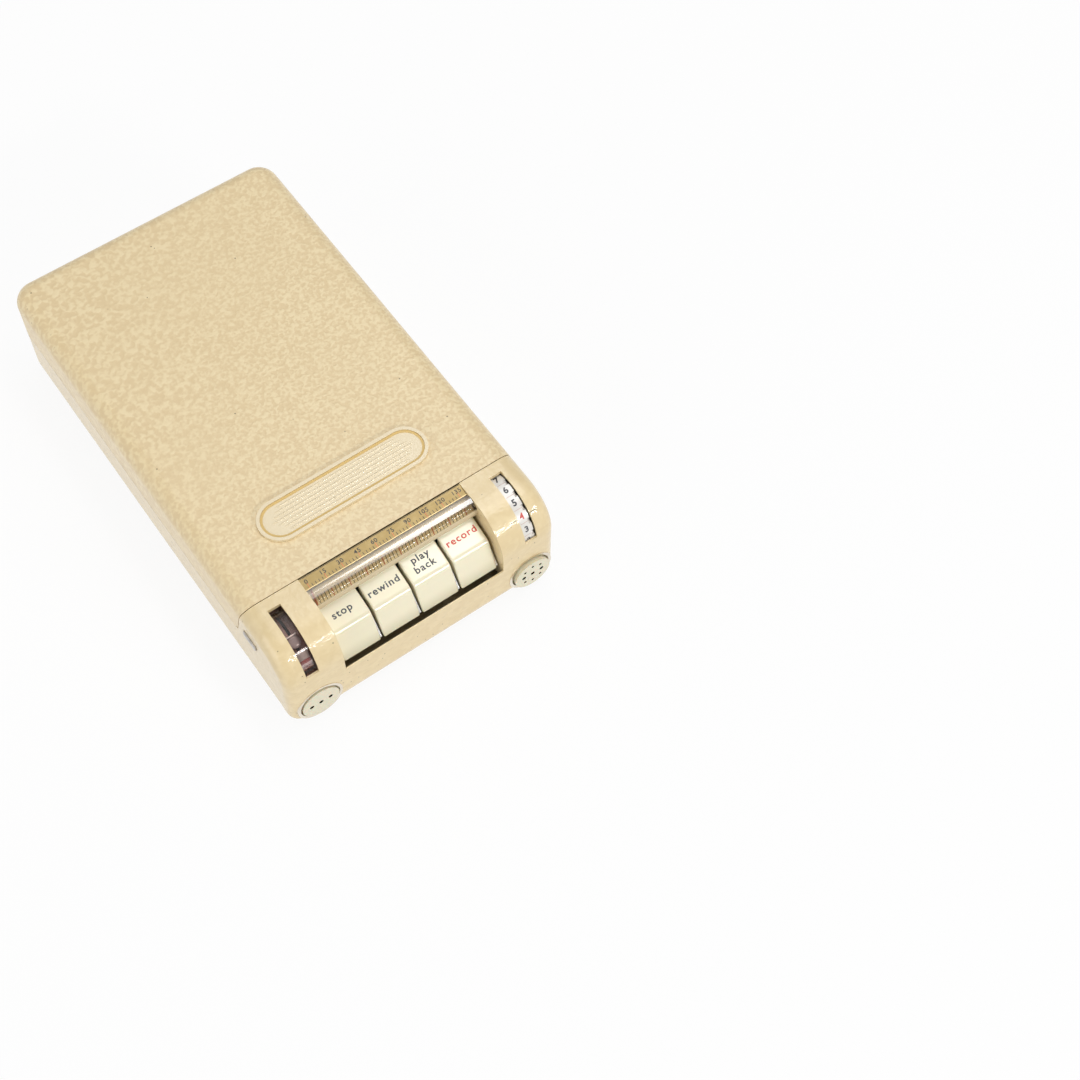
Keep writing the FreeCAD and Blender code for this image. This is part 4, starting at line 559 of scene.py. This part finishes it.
def printed_card():
    """Sleeve of the flat battery: blue card with a buff band and scuffed edges."""
    mix = Finish("battery_card", Roughness=0.62)
    fibre = mix.noise(0.6 * MM, 4.0, 0.6)
    band = mix.level(mix.axis("Z"), *BATTERY_BAND_Z)
    colour = mix.mix(band, (0.07, 0.11, 0.20), (0.62, 0.50, 0.30))
    mix.set(Base_Color=mix.laid_over(colour, fibre, 0.35, (0.30, 0.30, 0.30)))
    mix.set(Normal=mix.relief(fibre, 0.02 * MM))
    return mix.material


def laminate():
    """Brown paper laminate of the circuit board, with its fibres along one way."""
    mix = Finish("paper_laminate", Roughness=0.5, Coat_Weight=0.2)
    fibre = mix.noise(2.0 * MM, 4.0, 0.6, 0.0, mix.coordinates((1, 6, 1)))
    mix.set(Base_Color=mix.mix(fibre, (0.16, 0.075, 0.030), (0.30, 0.160, 0.070)))
    mix.set(Normal=mix.relief(fibre, 0.01 * MM))
    return mix.material


def laminated_core():
    """Varnished iron sheets, stacked along the core."""
    mix = Finish("varnished_laminations", Roughness=0.45, Metallic=0.3)
    sheets = mix.node("TexWave", {"bands_direction": "Y"}, Vector=mix.coordinates(), Scale=130.0)
    sheets = sheets.outputs["Fac"]
    mix.set(Base_Color=mix.mix(sheets, (0.07, 0.055, 0.045), (0.18, 0.15, 0.12)))
    mix.set(Normal=mix.relief(sheets, 0.08 * MM))
    return mix.material


def blue_sleeve():
    """Blue sleeves of the capacitors, a little rubbed."""
    mix = Finish("sleeved_cans", Roughness=0.35)
    cloud = mix.noise(2.5 * MM, 3.0)
    rubbed = mix.level(mix.noise(0.8 * MM), 0.3, 0.8)
    colour = mix.mix(cloud, (0.10, 0.16, 0.30), (0.16, 0.24, 0.42))
    mix.set(Base_Color=mix.laid_over(colour, rubbed, 0.2, (0.45, 0.46, 0.48)))
    return mix.material


def neoprene():
    """Dull black rubber of the belt."""
    mix = Finish("black_neoprene", Roughness=0.7)
    mix.set(Base_Color=mix.mix(mix.noise(0.8 * MM, 4.0), (0.018, 0.018, 0.018), (0.045, 0.043, 0.040)))
    mix.set(Normal=mix.relief(mix.noise(0.3 * MM), 0.02 * MM))
    return mix.material


def getter_glass():
    """Glass of the valves, silvered inside near the pinch."""
    mix = Finish("silvered_glass", Roughness=0.06, IOR=1.5)
    silver = mix.level(mix.axis("Y"), *SILVERED_Y)
    mix.set(Base_Color=mix.mix(silver, (0.80, 0.84, 0.86), (0.30, 0.31, 0.33)))
    mix.set(Metallic=silver, Transmission_Weight=mix.spread(silver, 0.9, 0.0))
    mix.set(Normal=mix.relief(mix.noise(4 * MM), 0.01 * MM))
    return mix.material


def dressed(finish, *nodes):
    """Gives CAD nodes a finish in place of the plain one that they came with."""
    for name in nodes:
        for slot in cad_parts[name].material_slots:
            slot.material = finish


INK_DARK = ink("dark_ink", (0.030, 0.026, 0.024))
INK_RED = ink("red_ink", (0.620, 0.060, 0.040))
INK_LABEL = ink("label_ink", (0.045, 0.045, 0.055), 0.15)
IVORY = ivory("ivory_moulding")
NICKEL = metal("nickel_plate", (0.80, 0.78, 0.74), (0.66, 0.63, 0.58), 0.14, "X", 0.14, (0.20, 0.15, 0.10))
STEEL = metal("bright_steel", (0.64, 0.64, 0.63), (0.50, 0.50, 0.50), 0.26)
ALUMINIUM = metal("turned_aluminium", (0.78, 0.78, 0.79), (0.66, 0.66, 0.67), 0.28, "X", 0.16)
BRASS = metal("turned_brass", (0.72, 0.54, 0.25), (0.58, 0.42, 0.19), 0.24)
ZINC = metal("zinc_can", (0.60, 0.61, 0.63), (0.46, 0.47, 0.48), 0.36, "Y", 0.2)
DARK = plain_moulding("dark_brown_moulding", (0.030, 0.020, 0.017), (0.055, 0.036, 0.028), 0.30, 0.5)
POINTER = ink("orange_red_lacquer", (0.720, 0.200, 0.070))
ENAMEL_PALE = plain_moulding("pale_enamel", (0.780, 0.650, 0.420), (0.830, 0.710, 0.480), 0.30, 0.5)
GOLD_LINE = ink("gilt_line", (0.72, 0.50, 0.17), 0.5)


def dress_cad_nodes():
    """Gives every CAD node its finish."""
    dressed(hammer_enamel(), "top_cover")
    dressed(smooth_enamel(), "lower_case")
    dressed(ENAMEL_PALE, "cover_badge")
    dressed(IVORY, "stop_key", "rewind_key", "playback_key", "record_key")
    for socket in ("left_socket", "right_socket"):
        dressed(ivory("ivory_" + socket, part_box(socket)), socket)
    dressed(plain_moulding("white_moulding", (0.78, 0.76, 0.72), (0.84, 0.82, 0.78), 0.25, 0.6),
            "volume_wheel")
    dressed(NICKEL, "stop_lever", "rewind_lever", "playback_lever", "record_lever")
    # The socket rings' nickel is tinted cream as a painted reflection of the enamel round them.
    dressed(metal("nickel_with_painted_cream_reflection", (0.84, 0.77, 0.65), (0.72, 0.64, 0.52), 0.12, "X", 0.12), "socket_rings")
    # The catches' nickel is darker than the other plate: partly wear, partly a painted dim reflection.
    dressed(metal("worn_nickel_with_painted_dim_reflection", (0.66, 0.63, 0.59), (0.46, 0.44, 0.41), 0.24, "Z", 0.14),
            "left_catch", "right_catch")
    dressed(gold_sheet(), "scale_plate")
    dressed(clear_moulding("clear_lens", (0.97, 0.96, 0.93), 4.0, LENS_AXIS), "scale_lens")
    dressed(clear_moulding("clear_window", (0.88, 0.83, 0.81), 0.5), "meter_window")
    dressed(POINTER, "scale_pointer")
    dressed(metal("pale_needle", (0.80, 0.77, 0.74), (0.66, 0.62, 0.60), 0.30), "meter_needle")
    dressed(DARK, "volume_control", "recording_head", "contact_stack", "battery_tray")
    dressed(meter_inside(), "meter_housing")
    dressed(STEEL, "hinge_pin", "key_frame", "key_shaft", "key_springs", "latch_bar", "pointer_screw",
            "volume_shaft", "instrument_brackets", "deck_posts", "deck_screws", "supply_spindle",
            "take_up_spindle")
    dressed(ALUMINIUM, "deck_plate", "supply_spool", "take_up_spool", "head_carriage")
    # The socket contacts are coloured near black: painted shade deep in the pin holes.
    dressed(metal("brass_painted_black_as_hole_shade", (0.030, 0.022, 0.016), (0.016, 0.012, 0.010), 0.50), "socket_contacts")
    dressed(BRASS, "spindle_bushes", "motor_rotor", "level_cam", "battery_contacts")
    dressed(ZINC, "motor_case", "dry_cells")
    dressed(wound_wire(), "supply_wire", "take_up_wire", "wire_run")
    dressed(neoprene(), "drive_belt")
    dressed(laminate(), "circuit_board")
    dressed(getter_glass(), "amplifier_valves")
    dressed(blue_sleeve(), "capacitors")
    dressed(laminated_core(), "output_transformer")
    dressed(printed_card(), "anode_battery")


# Printing on the keys and on the scale

def slope_ways(start, end):
    """Way up a printed slope from end to start, way off it, and the place of its foot."""
    start_y, start_z = place(*start)
    end_y, end_z = place(*end)
    up = np.array([0.0, start_y - end_y, start_z - end_z])
    up /= np.linalg.norm(up)
    return up, np.cross(ALONG, up), np.array([0.0, end_y, end_z])


def key_labels():
    """Words on the flat tops of the keys."""
    up, _, ridge = slope_ways(KEY_BACK, KEY_RIDGE)
    for key, words in LABELS.items():
        low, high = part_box(key + "_key")
        middle = (low[0] + high[0]) / 2
        parts = []
        for word, shift, reach in words:
            centre = ridge + ALONG * (middle + shift * MM) + up * reach * MM
            parts.append(flat_words(word, LABEL_HEIGHT, centre, up, *LABEL_LETTERS))
        finish = INK_RED if key == "record" else INK_LABEL
        add_piece(key + "_label", *joined(parts), key, "ivory_plastic", finish)


def scale_printing():
    """Minute scale: numerals and short marks on the strip, and long marks on the slope behind the lens."""
    strip = slope_ways(STRIP_BACK, STRIP_EDGE)
    slope = slope_ways(BEHIND_LENS_TOP, BEHIND_LENS_FOOT)
    marks = np.arange((SCALE_MARKS - 1) * MINOR_MARKS + 1)
    x = SCALE_START + marks * SCALE_STEP / MINOR_MARKS
    quarter = marks % MINOR_MARKS == 0

    def bars(chosen, printed, middle, length, width):
        """Marks of one kind on one of the two slopes."""
        up, off, foot = printed
        centres = foot + up * middle + np.outer(x[chosen], ALONG)
        return slabs(centres, up, ALONG, off, length, width, 2 * PRINT)

    add_piece("scale_minute_marks", *bars(~quarter, strip, *MINUTE_MARK), "case", "gold_sheet", INK_DARK)
    add_piece("scale_long_marks", *bars(~quarter, slope, *LONG_MINUTE_MARK), "case", "gold_sheet",
              ink("olive_ink", (0.20, 0.145, 0.065)))
    red = bars(quarter, strip, *QUARTER_MARK), bars(quarter, slope, *LONG_QUARTER_MARK)
    add_piece("scale_quarter_marks", *joined(red), "case", "gold_sheet",
              ink("orange_ink", (0.680, 0.210, 0.075)))

    up, off, foot = strip
    numerals = []
    for number in range(SCALE_MARKS):
        centre = foot + up * NUMERAL_MIDDLE + ALONG * (SCALE_START + number * SCALE_STEP)
        minutes = str(SCALE_MINUTES * number)
        numerals.append(flat_words(minutes, NUMERAL_HEIGHT, centre, up, *NUMERAL_LETTERS))
    add_piece("scale_numerals", *joined(numerals), "case", "gold_sheet", INK_DARK)

    length = SCALE_HIGH[0] - SCALE_LOW[0] - BORDER_SPARE
    line = slabs([foot + up * BORDER_MIDDLE], ALONG, up, off, length, BORDER_WIDTH, 2 * PRINT)
    add_piece("scale_border", *line, "case", "gold_sheet", INK_DARK)


# Volume wheel

def rolled(points, middle_x, angle, radius):
    """Flat points rolled round the wheel's axis: x stays, y becomes an arc, z a height above the radius."""
    turn = angle + points[:, 1] / radius
    reach = radius + points[:, 2]
    return np.stack([middle_x + points[:, 0],
                     NOSE_Y - reach * np.cos(turn),
                     NOSE_Z + reach * np.sin(turn)], axis=1)


def rolled_line(middle_x, angle, radius, length, width):
    """Line along X at an angle, on a curve of that radius about the wheel's axis."""
    bar, faces = slabs([(0, 0, 0)], *np.eye(3), length, width, 2 * PRINT)
    return rolled(bar, middle_x, angle, radius), faces


def sliced(points, faces, step):
    """The same flat mesh cut across every step along y, so that it can bend."""
    mesh = bmesh.new()
    corners = [mesh.verts.new(point) for point in points]
    for face in faces:
        mesh.faces.new([corners[i] for i in face])
    low, high = points[:, 1].min(), points[:, 1].max()
    for y in np.arange(low + step, high, step):
        geometry = mesh.verts[:] + mesh.edges[:] + mesh.faces[:]
        bmesh.ops.bisect_plane(mesh, geom=geometry, plane_co=(0, y, 0), plane_no=(0, 1, 0))
    mesh.verts.index_update()
    cut = np.array([vertex.co[:] for vertex in mesh.verts])
    cut_faces = [tuple(vertex.index for vertex in face.verts) for face in mesh.faces]
    mesh.free()
    return cut, cut_faces


def wheel_printing():
    """Numerals round the rim, the fourth in red, and faint lines between them."""
    middle = (WHEEL_LOW[0] + WHEEL_HIGH[0]) / 2 + PRINT_ASIDE
    dark, red = [], []
    for number in range(WHEEL_NUMERALS):
        points, faces = lettering(str(number), WHEEL_NUMERAL_HEIGHT, WHEEL_NUMERAL_WEIGHT)
        points, faces = sliced(points, faces, BEND_STEP)
        angle = WHEEL_FOUR + (number - 4) * WHEEL_STEP
        (red if number == 4 else dark).append((rolled(points, middle, angle, WHEEL_R), faces))
    add_piece("wheel_numerals", *joined(dark), "volume", "wheel_plastic", INK_LABEL)
    add_piece("wheel_red_numeral", *joined(red), "volume", "wheel_plastic", INK_RED)
    length = WHEEL_HIGH[0] - WHEEL_LOW[0] - DIVISION_SPARE
    lines = [rolled_line(middle, WHEEL_FOUR + (number + 0.5) * WHEEL_STEP, WHEEL_R, length, DIVISION_WIDTH)
             for number in range(WHEEL_DIVISIONS)]
    add_piece("wheel_divisions", *joined(lines), "volume", "wheel_plastic",
              ink("pink_ink", (0.60, 0.42, 0.36)))


def volume_index():
    """Fine dark line across the front curve on each side of the wheel's slot."""
    lines = [rolled_line((start + end) / 2 * MM, WHEEL_FOUR, NOSE_R, (end - start) * MM, INDEX_WIDTH)
             for start, end in INDEX_LINES]
    add_piece("volume_index", *joined(lines), "case", "cream_paint", INK_DARK)


# Level meter

def meter_field(name, angles, finish):
    """Strip of film between two angles, bent to the window's curve."""
    rows, columns = 9, 3
    turn = np.radians(np.linspace(*angles, rows))[:, None]
    x = METER_X + np.linspace(-FILM_WIDTH / 2, FILM_WIDTH / 2, columns)
    y = NOSE_Y - FILM_R * np.cos(turn)
    z = NOSE_Z + FILM_R * np.sin(turn)
    points = np.stack(np.broadcast_arrays(x, y, z), axis=-1)
    film = add_piece(name, points, grid_faces(rows, columns), "case", "dark_plastic", finish, True)
    wall = film.modifiers.new("wall", "SOLIDIFY")
    wall.thickness = FILM_WALL
    wall.offset = 0.0


def meter_details():
    """What shows in the meter's window: a pale and a red field on a film, and a disc on the needle."""
    meter_field("meter_pale_field", PALE_FIELD, ink("pale_dial", (0.70, 0.68, 0.66), 0.3))
    meter_field("meter_red_field", RED_FIELD, ink("red_dial", (0.45, 0.050, 0.042), 0.2))
    off = np.array([0, -math.cos(DISC_ANGLE), math.sin(DISC_ANGLE)])
    centre = np.array([METER_X, NOSE_Y, NOSE_Z]) + DISC_BASE_R * off
    disc = turned(centre, off, ALONG, np.array(DISC_PROFILE) * MM, 40)
    add_piece("needle_disc", *disc, "needle", "nickel",
              plain_moulding("grey_disc", (0.50, 0.46, 0.48), (0.62, 0.58, 0.60), 0.25, 0.6), True)


# Keys

def lever_rivets():
    """Two polished domes on the front edge of each key lever."""
    ridge_y, ridge_z = place(*KEY_RIDGE)
    foot_y, foot_z = place(*KEY_FOOT)
    down = np.array([0.0, foot_y - ridge_y, foot_z - ridge_z])
    off = np.array([0.0, down[2], -down[1]]) / np.linalg.norm(down)
    rise = np.linspace(0, math.pi / 2, 6)
    profile = np.stack([RIVET_R * np.cos(rise) + RIVET_FLAT, RIVET_R * np.sin(rise)], axis=1)
    for key in LABELS:
        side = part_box(key + "_lever")[1][0] - RIVET_INSET
        parts = []
        for share, behind in RIVETS:
            centre = np.array([side, ridge_y, ridge_z]) + share * down - behind * MM * off
            parts.append(turned(centre, off, ALONG, profile, 16))
        add_piece(key + "_lever_rivets", *joined(parts), key, "nickel", NICKEL, True)


# Badge on the cover

def stadium_path(width, deep, count):
    """Closed line round a bar with round ends, as (x, y) and the outward direction at each point."""
    radius = deep / 2
    straight = width / 2 - radius
    turn = np.linspace(0, math.pi, count)
    right = np.stack([straight + radius * np.sin(turn), radius * np.cos(turn)], axis=1)
    left = -right
    points = np.concatenate([right, left])
    way = np.stack([np.sin(turn), np.cos(turn)], axis=1)
    return points, np.concatenate([way, -way])


def badge_details():
    """Gilt line inside the rim of the badge, and fine ribs along its field."""
    centre = (BADGE_LOW + BADGE_HIGH) / 2
    floor = BADGE_HIGH[2] - BADGE_SUNK
    width = BADGE_HIGH[0] - BADGE_LOW[0] - 2 * BADGE_RIM
    deep = BADGE_HIGH[1] - BADGE_LOW[1] - 2 * BADGE_RIM
    path, way = stadium_path(width, deep, 33)
    profile = np.array(GILT_PROFILE)[:, :, None, None] * MM
    flat = centre[:2] + path + profile[:, 0] * way
    height = np.broadcast_to(floor + profile[:, 1], (len(profile), len(path), 1))
    points = np.concatenate([flat, height], axis=-1)
    faces = grid_faces(len(profile), len(path), True, True)
    add_piece("badge_gilt_line", points, faces, "cover", "badge_paint", GOLD_LINE)

    rows, columns = 49, 7
    along = np.linspace(-1, 1, rows)
    taper = np.sqrt(np.clip(1 - np.abs(along) ** 16, 0, 1))
    arch = np.linspace(0, math.pi, columns)
    across = np.outer(taper, np.cos(arch)) * RIB_HALF_WIDTH
    z = floor - RIB_SEAT + np.outer(taper, np.sin(arch)) * RIB_HEIGHT
    ribs = []
    for aside in (np.arange(RIBS) - RIBS // 2) * RIB_PITCH:
        half = width / 2 - RIB_INSET - abs(aside) * RIB_SHORTENING
        x = np.broadcast_to((centre[0] + along * half)[:, None], across.shape)
        rib = np.stack([x, centre[1] + aside + across, z], axis=-1)
        ribs.append((rib.reshape(-1, 3), grid_faces(rows, columns)))
    add_piece("badge_ribs", *joined(ribs), "cover", "badge_paint", ENAMEL_PALE, True)


# Camera, lamps and floor

def set_camera():
    """Camera above the front left corner, turned a little about its own axis."""
    turn, rise, roll = CAMERA_TURN, CAMERA_RISE, CAMERA_ROLL
    back = Vector((math.sin(turn) * math.cos(rise), -math.cos(turn) * math.cos(rise), math.sin(rise)))
    right = Vector((math.cos(turn), math.sin(turn), 0))
    up = back.cross(right)
    side = right * math.cos(roll) + up * math.sin(roll)
    top = up * math.cos(roll) - right * math.sin(roll)
    data = bpy.data.cameras.new("camera")
    data.sensor_width = 36.0
    data.lens = CAMERA_LENS
    data.clip_start = 0.01
    camera = bpy.data.objects.new("camera", data)
    bpy.context.collection.objects.link(camera)
    facing = Matrix((side, top, back)).transposed().to_4x4()
    camera.matrix_world = Matrix.Translation(CAMERA_PLACE) @ facing
    bpy.context.scene.camera = camera


def add_lamp(name, direction, distance, size, power):
    """White rectangular soft box that faces the object from a direction."""
    data = bpy.data.lights.new(name, "AREA")
    data.shape = "RECTANGLE"
    data.size, data.size_y = size
    data.energy = power
    lamp = bpy.data.objects.new(name, data)
    away = Vector(direction).normalized()
    facing = away.to_track_quat("Z", "Y").to_matrix().to_4x4()
    lamp.matrix_world = Matrix.Translation(away * distance) @ facing
    bpy.context.collection.objects.link(lamp)


def set_lamps():
    """Soft boxes in front, above and to the left, each with its way, distance, size and watts."""
    add_lamp("front_box", (0.28, -0.86, 0.41), 1.60, (0.64, 0.08), 8.6)
    add_lamp("top_box", (0.22, 0.10, 0.97), 2.00, (2.00, 2.00), 12.6)
    add_lamp("top_strip", (0.29, 0.03, 0.95), 2.00, (1.80, 0.34), 7.8)
    add_lamp("left_box", (-0.95, -0.10, 0.35), 1.80, (1.60, 1.00), 11.5)


def set_world():
    """Surroundings that light the object faintly, are white to the camera and pale in mirror images."""
    world = bpy.data.worlds.new("studio")
    bpy.context.scene.world = world
    world.use_nodes = True
    background = world.node_tree.nodes["Background"]
    background.inputs["Color"].default_value = (1.0, 1.0, 1.0, 1.0)
    path = world.node_tree.nodes.new("ShaderNodeLightPath")
    seen = world.node_tree.nodes.new("ShaderNodeMath")
    seen.operation = "MULTIPLY_ADD"
    seen.inputs[1].default_value = GLOSSY_SHARE
    strength = world.node_tree.nodes.new("ShaderNodeMapRange")
    strength.inputs["To Min"].default_value = WORLD_LIGHT
    strength.inputs["To Max"].default_value = 1.0
    world.node_tree.links.new(path.outputs["Is Glossy Ray"], seen.inputs[0])
    world.node_tree.links.new(path.outputs["Is Camera Ray"], seen.inputs[2])
    world.node_tree.links.new(seen.outputs[0], strength.inputs["Value"])
    world.node_tree.links.new(strength.outputs["Result"], background.inputs["Strength"])


def add_floor():
    """Wide white floor that keeps a soft shadow."""
    half = FLOOR_HALF
    corners = [(-half, -half, 0), (half, -half, 0), (half, half, 0), (-half, half, 0)]
    mesh = bpy.data.meshes.new("floor")
    mesh.from_pydata(corners, [], [(0, 1, 2, 3)])
    floor = bpy.data.objects.new("floor", mesh)
    bpy.context.collection.objects.link(floor)
    paper = Finish("white_paper", Base_Color=(0.9, 0.9, 0.9), Roughness=0.8)
    glow = paper.node("Emission", Color=(1, 1, 1), Strength=1.0)
    path = paper.node("LightPath")
    seen = paper.maths("MAXIMUM", path.outputs["Is Camera Ray"], path.outputs["Is Glossy Ray"])
    share = paper.maths("MULTIPLY", seen, FLOOR_SHARE)
    paper.show(paper.blend(share, paper.shader.outputs[0], glow.outputs[0]))
    mesh.materials.append(paper.material)


set_camera()
set_lamps()
set_world()
add_floor()
dress_cad_nodes()
key_labels()
scale_printing()
wheel_printing()
volume_index()
meter_details()
lever_rivets()
badge_details()

view = bpy.context.scene.view_settings
view.view_transform = "Standard"
